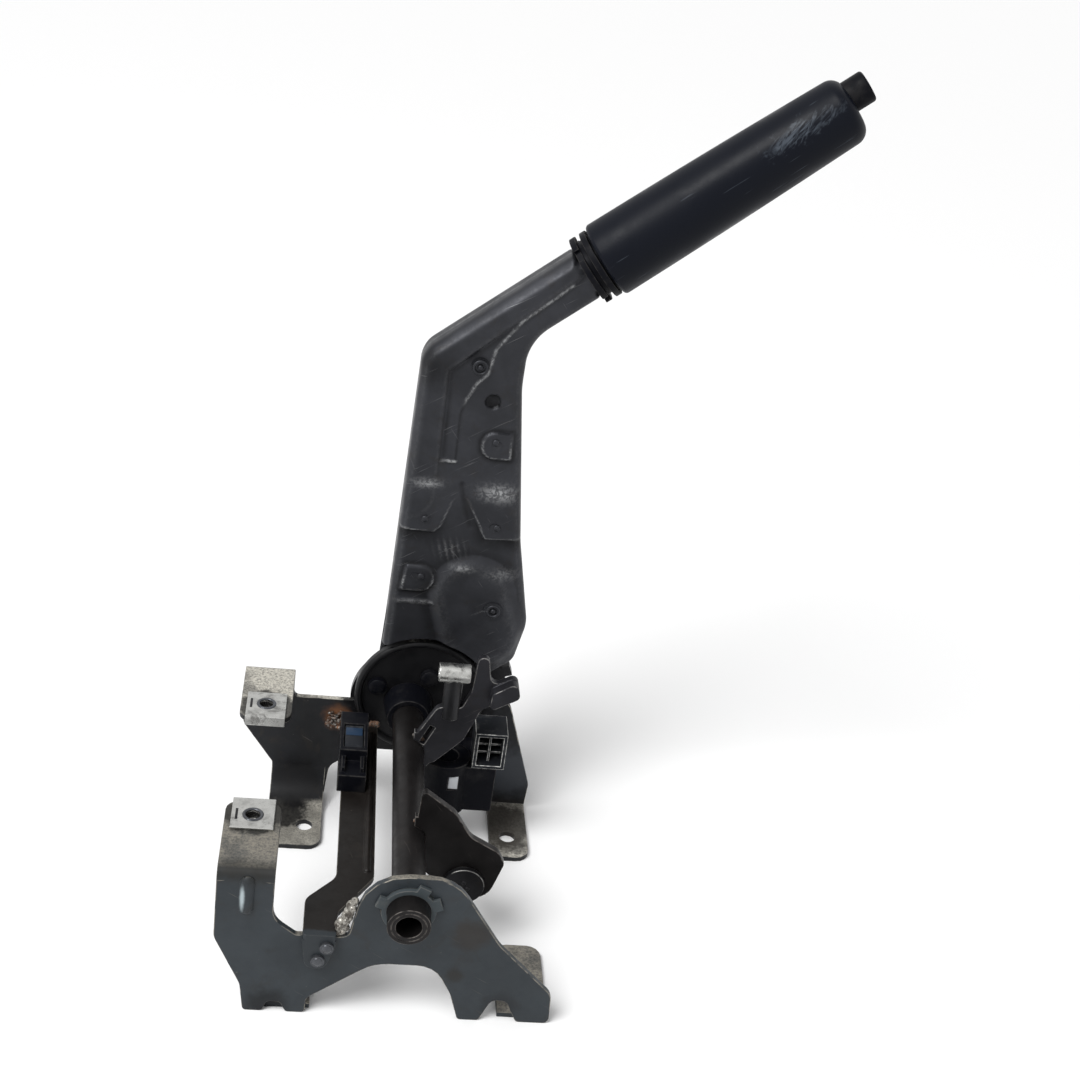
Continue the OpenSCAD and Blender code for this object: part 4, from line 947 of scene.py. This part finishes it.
# Grip: rounds of its nose and rear lip, depth of the wall behind its nose, swell, and the seam below it
NOSE_R = 7.0
LIP_R = 2.0
NOSE_WALL = 7.97
GRIP_SWELL = 0.35
GRIP_STEPS = 40
SEAM_FROM_R = 15.5
SEAM_HALF = 0.035
SEAM_DEPTH = 0.18


class BRAKELEVER_OT_grip(bpy.types.Operator):
    """Turns the grip, with its moulding seam and the opening for the button"""
    bl_idname = "brakelever.grip"
    bl_label = "Grip"

    def execute(self, context):
        bore = CORE_R + 0.03
        straight = GRIP_LENGTH - NOSE_R - LIP_R
        profile = [(bore, 0.0)] + round_edge(GRIP_REAR_R, LIP_R, LIP_R, -90, 8)
        for k in range(1, GRIP_STEPS):
            t = k / GRIP_STEPS
            swell = GRIP_SWELL * math.sin(math.pi * t)
            profile.append((GRIP_REAR_R + (GRIP_FRONT_R - GRIP_REAR_R) * t + swell, LIP_R + straight * t))
        profile += round_edge(GRIP_FRONT_R, GRIP_LENGTH - NOSE_R, NOSE_R, 0, 12)
        profile += [(0.6, GRIP_LENGTH), (0.6, GRIP_LENGTH - NOSE_WALL), (bore, GRIP_LENGTH - NOSE_WALL)]
        base, axis = grip_point(0, 0), grip_axis()
        up = grip_point(0, 1) - base
        verts, faces = lathe(profile, base, axis, 112)
        for k, v in enumerate(verts):
            out = (v - base) - axis * (v - base).dot(axis)
            side = out.normalized()
            if out.length > SEAM_FROM_R * MM and abs(side.y) < SEAM_HALF and side.dot(up) < 0:
                verts[k] = v - side * (SEAM_DEPTH * MM)
        grip = face_outwards(mesh_object("grip_skin", verts, faces, FINISHES["grip_plastic"]))
        opening = [(0.0001, 0.0), (BUTTON_R + 0.3, 0.0), (BUTTON_R + 0.3, 24.0), (0.0001, 24.0)]
        cutter = turned_piece("grip_cutter", opening, grip_point(GRIP_LENGTH - 12, BUTTON_RISE), axis, 64,
                              FINISHES["grip_plastic"])
        cut = grip.modifiers.new("Button opening", "BOOLEAN")
        cut.operation = "DIFFERENCE"
        cut.solver = "EXACT"
        cut.object = cutter
        settle(grip)
        bpy.data.objects.remove(cutter)
        grip.data.set_sharp_from_angle(angle=SHARP_TURNED)
        place_piece(grip, "lever", "grip_plastic", "grip")
        return {"FINISHED"}


# Solids shown with softened edges: node, body, slot, edge width in millimetres
SOFTENED = (
    ("near_bracket", "bracket", "bracket_paint", 0.35),
    ("far_bracket", "bracket", "far_bracket_paint", 0.35),
    ("cross_strap", "bracket", "strap_paint", 0.35),
    ("near_clip_nut", "bracket", "zinc", 0.25),
    ("far_clip_nut", "bracket", "zinc", 0.25),
    ("near_bush", "bracket", "bush_plastic", 0.3),
    ("far_bush", "bracket", "black_plastic", 0.4),
    ("warning_switch", "bracket", "black_plastic", 0.5),
    ("cable_guide", "bracket", "black_plastic", 0.5),
    ("cable_guide_socket", "bracket", "socket_plastic", 0.3),
    ("pivot_tube", "lever", "tube_steel", 0.3),
    ("pivot_sleeve", "lever", "tube_steel", 0.3),
    ("pull_arm", "lever", "tube_steel", 0.4),
    ("lower_crank", "lever", "tube_steel", 0.4),
    ("cable_pin", "lever", "hard_steel", 0.4),
    ("cable_stud", "lever", "hard_steel", 0.4),
    ("cable_barrel", "lever", "zinc", 0.5),
    ("grip_core", "lever", "black_plastic", 0.3),
)
# Nodes that look different from the rest of their slot
OWN_FINISH = {"strap_rivets": "rivet_steel", "sector_rivets": "black_plastic", "shell_rivets": "lever_steel",
              "pawl_pin": "lever_steel", "pull_arm": "arm_steel"}
# Solids shown as they are
PLAIN = ("strap_rivets", "ratchet_sector", "sector_rivets", "shell_rivets", "pawl_pin", "spring_seat",
         "release_rod", "pawl")


class BRAKELEVER_OT_softened_parts(bpy.types.Operator):
    """Softens the edges of the sheet, turned and moulded parts"""
    bl_idname = "brakelever.softened_parts"
    bl_label = "Softened parts"

    def execute(self, context):
        for node, body, slot, width in SOFTENED:
            place_piece(soften(node, width, FINISHES[OWN_FINISH.get(node, slot)]), body, slot, node)
        return {"FINISHED"}


class BRAKELEVER_OT_finishes(bpy.types.Operator):
    """Gives the solids that stay as they are their finish"""
    bl_idname = "brakelever.finishes"
    bl_label = "Finishes"

    def execute(self, context):
        slots = {s["node"]: s["material_slot"] for s in frame["record"]["subparts"]}
        for node in PLAIN:
            for slot in frame["nodes"][node].material_slots:
                slot.material = FINISHES[OWN_FINISH.get(node, slots[node])]
        return {"FINISHED"}


# Geometry Nodes

def group(name, **inputs):
    """New geometry node group with named inputs; gives the tree and the sockets of its inputs."""
    tree = bpy.data.node_groups.new(name, "GeometryNodeTree")
    for label, kind in {"Geometry": "Geometry", **inputs}.items():
        tree.interface.new_socket(label, in_out="INPUT", socket_type="NodeSocket" + kind)
    tree.interface.new_socket("Geometry", in_out="OUTPUT", socket_type="NodeSocketGeometry")
    return tree, add(tree, "start").node.outputs


def close_group(tree, start, shape):
    """Ends a group with real geometry, smooth shading and its material."""
    add(tree, "end", add(tree, "dressed", add(tree, "smoothed", add(tree, "real", shape)), start["Material"]))
    return tree


def grow(name, tree, verts, edges, values, attributes=None):
    """Object from a point or line mesh with a geometry node group, settled to a plain mesh."""
    mesh = bpy.data.meshes.new(name)
    mesh.from_pydata([tuple(v) for v in verts], edges, [])
    for key, vectors in (attributes or {}).items():
        layer = mesh.attributes.new(key, "FLOAT_VECTOR", "POINT")
        layer.data.foreach_set("vector", np.asarray(vectors, np.float32).ravel())
    made = link(name, mesh)
    modifier = made.modifiers.new("Grow", "NODES")
    modifier.node_group = tree
    for item in tree.interface.items_tree:
        if item.item_type == "SOCKET" and item.in_out == "INPUT" and item.name in values:
            modifier[item.identifier] = values[item.name]
    return settle(made)


def dome_group():
    """Domed rivet heads on points, standing along each point's own direction."""
    tree, start = group("Domed heads", Radius="Float", Height="Float", Material="Material")
    size = add(tree, "sides", start["Radius"], start["Radius"], start["Height"])
    turn = add(tree, "stood", add(tree, "direction", "out"))
    head = add(tree, "ball", 28, 14, 1.0)
    return close_group(tree, start, add(tree, "on_points", start["Geometry"], head, size, turn))


def weld_group():
    """Weld bead: overlapping flat drops along a line, each a little uneven."""
    tree, start = group("Weld bead", Radius="Float", Pitch="Float", Seed="Int", Material="Material")
    ripples = add(tree, "ripples", add(tree, "line", start["Geometry"]), start["Pitch"])
    size = add(tree, "times", start["Radius"], add(tree, "uneven", 0.78, 1.15, start["Seed"]))
    turn = add(tree, "stood", add(tree, "tangent"))
    return close_group(tree, start,
                       add(tree, "on_points", ripples, add(tree, "ball", 14, 8, 1.0), size, turn))


def spatter_group():
    """Uneven lumps on given points."""
    tree, start = group("Weld spatter", Radius="Float", Seed="Int", Material="Material")
    uneven = add(tree, "uneven_sides", (0.5, 0.5, 0.4), (1.4, 1.1, 0.9), start["Seed"])
    size = add(tree, "sized", uneven, start["Radius"])
    return close_group(tree, start,
                       add(tree, "on_points", start["Geometry"], add(tree, "lump", 3, 1.0), size))


def coil_group():
    """Coil spring: round wire along a spiral."""
    tree, start = group("Coil spring", Radius="Float", Height="Float", Turns="Float", Wire="Float",
                        Turn="Rotation", Place="Vector", Material="Material")
    spiral = add(tree, "spiral", 32, start["Turns"], start["Radius"], start["Radius"], start["Height"])
    coil = add(tree, "swept", spiral, add(tree, "round", 10, start["Wire"]), True)
    return close_group(tree, start, add(tree, "moved", coil, start["Place"], start["Turn"]))


# Turned pieces, marks, rivets and welds, in millimetres from the pivot axis

RING_RIVET = (16.0, 201.0)
PIN = (29.0, -25.0)
GUIDE = (22.0, FAR_FRONT - 28, -12.0)
CLINCH_DOTS = ((28.2, 161.7), (-1.2, 82.6), (-2.4, 116.2), (34.3, 114.1))
STRAP_RIVETS = ((STRAP_X - 11.5, STRAP_Z - 6.5), (STRAP_X - 15.2, STRAP_Z - 14.5))
THREADS = {m["name"]: Vector(m["pos_m"]) for m in frame["record"]["mounts"]}
# Pressed ring and slit of a clip nut, dome in a pin's ring, rim of the button, and the room of its spring
CLIP_RING_R = 4.2
CLIP_SLIT = (1.2, 8.0, 0.4)
PIN_DOME = ((0.05, -0.5), (1.5, -0.5), (1.45, 0.2), (1.1, 0.65), (0.6, 0.85), (0.05, 0.9))
TOWARDS_VIEW = Vector((0, -1, 0))
BUTTON_SOFT = 1.4
SPRING_FOOT = 100.02
SPRING_LENGTH = 9.9
SPATTER_COUNT = 95
# Runs of the bright weld at the strap's near end: depth behind the near bracket's face, places
BRIGHT_RUNS = (
    (1.8, ((-24.5, 2.0), (-25.6, -4.0), (-26.8, -9.0), (-29.0, -13.0), (-30.5, -14.6))),
    (3.4, ((-26.4, -1.0), (-27.6, -6.5), (-29.2, -10.5), (-31.0, -13.5))),
    (1.6, ((-27.4, -14.0), (-29.2, -16.2), (-31.0, -17.0))),
)


def round_about(u, w, r, *degrees):
    """Places on a circle, at these angles."""
    return [(u + r * math.cos(math.radians(a)), w + r * math.sin(math.radians(a))) for a in degrees]


SECTOR_RIVETS = round_about(0, 0, 20, -30, 60, 150)
PIN_DOTS = round_about(*PIN, 2.4, 90, 210, 330)


class BRAKELEVER_OT_release_button(bpy.types.Operator):
    """Turns the release button with its soft rim and dished end"""
    bl_idname = "brakelever.release_button"
    bl_label = "Release button"

    def execute(self, context):
        along = grip_axis()
        base = grip_point(0, BUTTON_RISE)
        solid = frame["nodes"]["release_button"]
        reach = [(solid.matrix_world @ v.co - base).dot(along) / MM for v in solid.data.vertices]
        low, high = min(reach), max(reach)
        profile = [(0.05, low), (BUTTON_R - 0.4, low), (BUTTON_R, low + 0.4)]
        profile += round_edge(BUTTON_R, high - BUTTON_SOFT, BUTTON_SOFT, 0, 8)
        profile += [(BUTTON_R - 2.4, high - 0.1), (BUTTON_R - 3.4, high - 0.5),
                    (2.0, high - 0.8), (0.05, high - 0.85)]
        button = turned_piece("button_cap", profile, base, along, 56, FINISHES["black_plastic"])
        button.data.set_sharp_from_angle(angle=SHARP_TURNED)
        place_piece(button, "release", "black_plastic", "release_button")
        return {"FINISHED"}


class BRAKELEVER_OT_pin_rings(bpy.types.Operator):
    """Sets the turned rings on the shells' rivet and the pawl's pin"""
    bl_idname = "brakelever.pin_rings"
    bl_label = "Pin rings"

    def execute(self, context):
        for name, node, (u, w), r in (("rivet_ring", "shell_rivets", RING_RIVET, 3.3),
                                      ("pawl_pin_ring", "pawl_pin", PAWL, 3.1)):
            middle = lever_plane(u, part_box(node)[0][1] / MM + 0.1, w)
            verts, faces = lathe(ring_profile(r, 0.75, 0.75), middle, TOWARDS_VIEW, 36)
            more, links = lathe(PIN_DOME, middle, TOWARDS_VIEW, 24)
            faces += [tuple(i + len(verts) for i in f) for f in links]
            ring = face_outwards(mesh_object(name, verts + more, faces, FINISHES["lever_steel"]))
            place_piece(ring, "lever", "lever_steel")
        return {"FINISHED"}


class BRAKELEVER_OT_clip_marks(bpy.types.Operator):
    """Puts the pressed ring and the slit on the clip nuts"""
    bl_idname = "brakelever.clip_marks"
    bl_label = "Clip marks"

    def execute(self, context):
        for side in ("near", "far"):
            x, y, _ = THREADS["console_thread_" + side] / MM
            (left, _, _), (_, _, top) = (Vector(corner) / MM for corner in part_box(side + "_clip_nut"))
            ring = turned_piece(side + "_clip_ring", ring_profile(CLIP_RING_R, 0.8, 0.45),
                                frame_point(x, y, top), Vector((0, 0, 1)), 40, FINISHES["rivet_steel"])
            place_piece(ring, "bracket", "zinc")
            slit = slab(side + "_clip_slit", (left + 1.8, y - CLIP_SLIT[1] / 2, top - 0.3), CLIP_SLIT, 0.1,
                        FINISHES["hard_steel"])
            place_piece(slit, "bracket", "zinc")
        return {"FINISHED"}


def slab(name, corner, size, soft, material):
    """Block with softened edges from a corner and a size in millimetres."""
    bm = bmesh.new()
    bmesh.ops.create_cube(bm, size=1.0)
    for v in bm.verts:
        v.co = [(corner[i] + size[i] * (v.co[i] + 0.5)) * MM for i in range(3)]
    bmesh.ops.bevel(bm, geom=bm.edges[:], offset=soft * MM, segments=3, profile=0.5, affect="EDGES")
    return from_bmesh(name, bm, material)


class BRAKELEVER_OT_windows(bpy.types.Operator):
    """Fits the latch window of the switch and the pale window of the guide"""
    bl_idname = "brakelever.windows"
    bl_label = "Windows"

    def execute(self, context):
        x, y, z = AXIS.x + STRAP_X - 11.3, FAR_FRONT - 61, AXIS.z + STRAP_Z
        guide = (AXIS.x + GUIDE[0] + 1.2, GUIDE[1] - 11.6, AXIS.z + GUIDE[2] - 13.8)
        # Name, slot, finish, lowest corner, size and width of the softened edges
        for name, slot, finish, corner, size, soft in (
                ("switch_latch", "black_plastic", "socket_plastic", (x + 2.5, y + 16.3, z + 14.6),
                 (9.5, 19.4, 1.5), 0.4),
                ("switch_window", "black_plastic", "window", (x + 2.9, y + 27.0, z + 15.6),
                 (8.7, 6.4, 0.9), 0.35),
                ("guide_window", "socket_plastic", "label", guide, (5.1, 2.6, 7.6), 0.3)):
            place_piece(slab(name, corner, size, soft, FINISHES[finish]), "bracket", slot)
        return {"FINISHED"}


class BRAKELEVER_OT_rivet_heads(bpy.types.Operator):
    """Sets domed heads on the rivets and clinch points"""
    bl_idname = "brakelever.rivet_heads"
    bl_label = "Rivet heads"

    def execute(self, context):
        tree = dome_group()
        near_face = LEVER_Y - PANEL_HALF - TAB_RISE
        far_face = LEVER_Y + PANEL_HALF + TAB_RISE
        pin_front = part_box("cable_pin")[0][1] / MM
        # Name, body, places, depth and side of each face they stand on, radius, height and finish
        rows = (
            ("pin_head_dots", "lever", PIN_DOTS, [(pin_front, -1)], 1.2, 0.6, "hard_steel"),
            ("strap_rivet_heads", "bracket", STRAP_RIVETS, [(NEAR_Y - 4.3, -1)], 2.5, 1.2, "rivet_steel"),
            ("sector_rivet_heads", "bracket", SECTOR_RIVETS, [(FAR_FRONT - 1.9, -1)], 4.6, 1.2,
             "black_plastic"),
            ("clinch_heads", "lever", CLINCH_DOTS, [(near_face - 0.1, -1), (far_face + 0.1, 1)], 1.9, 1.0,
             "lever_steel"),
        )
        for name, body, places, sides, r, h, slot in rows:
            verts = [lever_plane(u, y, w) for y, _ in sides for u, w in places]
            out = [(0, side, 0) for _, side in sides for _ in places]
            piece = grow(name, tree, verts, [],
                         {"Radius": r * MM, "Height": h * MM, "Material": FINISHES[slot]}, {"out": out})
            place_piece(piece, body, "hard_steel" if slot == "rivet_steel" else slot)
        return {"FINISHED"}


def arc_line(y, r, half_turn, count=32):
    """Arc of points round the right side of the cross tube."""
    angles = [half_turn * (2 * k / count - 1) for k in range(count + 1)]
    return [lever_plane(r * math.cos(a), y, r * math.sin(a)) for a in angles]


def strung(runs):
    """Points and links of several open lines."""
    verts, links = [], []
    for run in runs:
        links += [(len(verts) + k, len(verts) + k + 1) for k in range(len(run) - 1)]
        verts += run
    return verts, links


class BRAKELEVER_OT_welds(bpy.types.Operator):
    """Lays the weld beads of the cranks and the strap"""
    bl_idname = "brakelever.welds"
    bl_label = "Welds"

    def execute(self, context):
        tree = weld_group()
        s = sizes()
        cranks = [arc_line(y + CRANK_T + 0.4, TUBE_R + 0.4, math.radians(72)) for y in (PULL_Y, CRANK_Y)]
        strap = [lever_plane(STRAP_X - 8.5 + 17 * k / 24, FAR_FRONT - 0.5, STRAP_Z + 0.3) for k in range(25)]
        bright = [[lever_plane(u, NEAR_Y + depth, w) for u, w in run] for depth, run in BRIGHT_RUNS]
        rng = np.random.default_rng(s.weld_seed)
        spatter = [lever_plane(STRAP_X - 18 + 17 * a, FAR_FRONT - 0.2 - 6.0 * b * b,
                               STRAP_Z + 0.3 + 8 * c * c * (1 - b))
                   for a, b, c in rng.random((SPATTER_COUNT, 3))]
        # Name, body, node group, lines, thickness as a share of the weld radius, finish
        for name, body, nodes, lines, thick, finish in (
                ("crank_welds", "lever", tree, strung(cranks), 1.0, "weld"),
                ("strap_weld", "bracket", tree, strung([strap]), 1.25, "weld"),
                ("weld_spatter", "bracket", spatter_group(), (spatter, []), 0.75, "weld"),
                ("strap_near_weld", "bracket", tree, strung(bright), 1.15, "bright_weld")):
            values = {"Radius": s.weld_radius * thick, "Pitch": s.weld_pitch, "Seed": s.weld_seed,
                      "Material": FINISHES[finish]}
            place_piece(grow(name, nodes, *lines, values), body, "hard_steel")
        return {"FINISHED"}


class BRAKELEVER_OT_button_spring(bpy.types.Operator):
    """Winds the spring that pushes the button out"""
    bl_idname = "brakelever.button_spring"
    bl_label = "Button spring"

    def execute(self, context):
        s = sizes()
        wire = s.spring_wire / 2
        start, along = grip_point(SPRING_FOOT, BUTTON_RISE), grip_axis()
        turn = Vector((0, 0, 1)).rotation_difference(along).to_euler()
        values = {"Radius": (BUTTON_R - 0.05) * MM - wire, "Height": SPRING_LENGTH * MM - 2 * wire,
                  "Wire": wire, "Turns": s.spring_turns, "Turn": turn, "Place": start + along * wire,
                  "Material": FINISHES["zinc"]}
        spring = grow("button_spring_coil", coil_group(), [(0, 0, 0)], [], values)
        place_piece(spring, "lever", "zinc", "button_spring")
        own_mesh(spring)
        return {"FINISHED"}


# Stage

CAMERA_AT = Vector((-56.42, -678.52, 588.39))
CAMERA_DOWN = math.radians(28.47427675)
CAMERA_ASIDE = math.radians(8.19040308)
CAMERA_ROLL = math.radians(8.59233596)
FOCAL_PX = 1700.0
IMAGE_PX = 1080.0
FLOOR_HALF = 6.0
SOFTBOX_AT = Vector((-0.7, -0.35, 1.0))
SOFTBOX_AIM = Vector((0.0, 0.05, 0.25))


def add_camera():
    """Camera at the photographed angle."""
    data = bpy.data.cameras.new("View")
    data.sensor_width = 36.0
    data.sensor_fit = "HORIZONTAL"
    data.lens = FOCAL_PX / IMAGE_PX * data.sensor_width
    data.clip_start = 0.01
    data.clip_end = 20.0
    view = link("View", data)
    ahead = Vector((math.sin(CAMERA_ASIDE) * math.cos(CAMERA_DOWN),
                    math.cos(CAMERA_ASIDE) * math.cos(CAMERA_DOWN),
                    -math.sin(CAMERA_DOWN)))
    right = Vector((math.cos(CAMERA_ASIDE), -math.sin(CAMERA_ASIDE), 0))
    up = right.cross(ahead)
    across = right * math.cos(CAMERA_ROLL) + up * math.sin(CAMERA_ROLL)
    above = up * math.cos(CAMERA_ROLL) - right * math.sin(CAMERA_ROLL)
    turn = Matrix((across, above, -ahead)).transposed().to_4x4()
    view.matrix_world = Matrix.Translation(CAMERA_AT * MM) @ turn
    bpy.context.scene.camera = view


def add_light(name, kind, towards, power, **settings):
    """Light that shines along a direction; gives its object."""
    data = bpy.data.lights.new(name, kind)
    data.energy = power
    for key, value in settings.items():
        setattr(data, key, value)
    lamp = link(name, data)
    lamp.rotation_euler = Vector(towards).to_track_quat("-Z", "Y").to_euler()
    return lamp


def floor_paper():
    """White paper sweep: shows as plain white to the camera and keeps the soft shadow."""
    made, tree, shader, _ = blank("White paper sweep")
    join(tree, shader, {"Base Color": (0.97, 0.97, 0.97), "Roughness": 0.9})
    return made


class BRAKELEVER_OT_stage(bpy.types.Operator):
    """Sets up the pale floor, the soft light and the camera"""
    bl_idname = "brakelever.stage"
    bl_label = "Stage"

    def execute(self, context):
        add_camera()
        corners = [(x * FLOOR_HALF, y * FLOOR_HALF, 0) for x, y in ((-1, -1), (1, -1), (1, 1), (-1, 1))]
        mesh_object("floor", corners, [(0, 1, 2, 3)], floor_paper())
        add_light("Key", "SUN", (0.55, 0.5, -1.0), 1.9, angle=math.radians(28))
        softbox = add_light("Softbox", "AREA", SOFTBOX_AIM - SOFTBOX_AT, 5, shape="SQUARE", size=0.5)
        softbox.location = SOFTBOX_AT
        world = context.scene.world or bpy.data.worlds.new("Studio")
        context.scene.world = world
        world.use_nodes = True
        tree = world.node_tree
        tree.nodes.clear()
        # Rays from the camera, and what shows in shiny or clear surfaces, meet plain white
        rays = add(tree, "rays").node.outputs
        shiny = add(tree, "most", rays["Is Glossy Ray"], rays["Is Transmission Ray"])
        seen = add(tree, "most", rays["Is Camera Ray"], shiny)
        soft, white = (add(tree, "sky", (1, 1, 1), strength) for strength in (0.5, 1.0))
        add(tree, "world", add(tree, "either", seen, soft, white))
        context.scene.view_settings.view_transform = "Standard"
        return {"FINISHED"}


PROPERTY_GROUPS = (LeverSizes, LeverColours)
STEPS = (BRAKELEVER_OT_lever_shells, BRAKELEVER_OT_grip, BRAKELEVER_OT_softened_parts, BRAKELEVER_OT_finishes,
         BRAKELEVER_OT_release_button, BRAKELEVER_OT_pin_rings, BRAKELEVER_OT_clip_marks,
         BRAKELEVER_OT_windows, BRAKELEVER_OT_rivet_heads, BRAKELEVER_OT_welds, BRAKELEVER_OT_button_spring,
         BRAKELEVER_OT_stage)


class BRAKELEVER_PT_sidebar(bpy.types.Panel):
    """Lists the steps that build the brake lever"""
    bl_idname = "BRAKELEVER_PT_sidebar"
    bl_label = "Brake lever"
    bl_space_type = "VIEW_3D"
    bl_region_type = "UI"
    bl_category = "Brake lever"

    def draw(self, context):
        for step in STEPS:
            self.layout.operator(step.bl_idname)
        for owner, kind in ((context.scene.brake_lever_sizes, LeverSizes),
                            (context.scene.brake_lever_colours, LeverColours)):
            for key in kind.__annotations__:
                self.layout.prop(owner, key)


CLASSES = PROPERTY_GROUPS + STEPS + (BRAKELEVER_PT_sidebar,)


def register():
    for item in CLASSES:
        bpy.utils.register_class(item)
    bpy.types.Scene.brake_lever_sizes = PointerProperty(type=LeverSizes)
    bpy.types.Scene.brake_lever_colours = PointerProperty(type=LeverColours)


def unregister():
    del bpy.types.Scene.brake_lever_colours
    del bpy.types.Scene.brake_lever_sizes
    for item in reversed(CLASSES):
        bpy.utils.unregister_class(item)


def main():
    """Builds everything."""
    register()
    make_finishes()
    for step in STEPS:
        area, name = step.bl_idname.split(".")
        getattr(getattr(bpy.ops, area), name)()


if __name__ == "__main__":
    main()
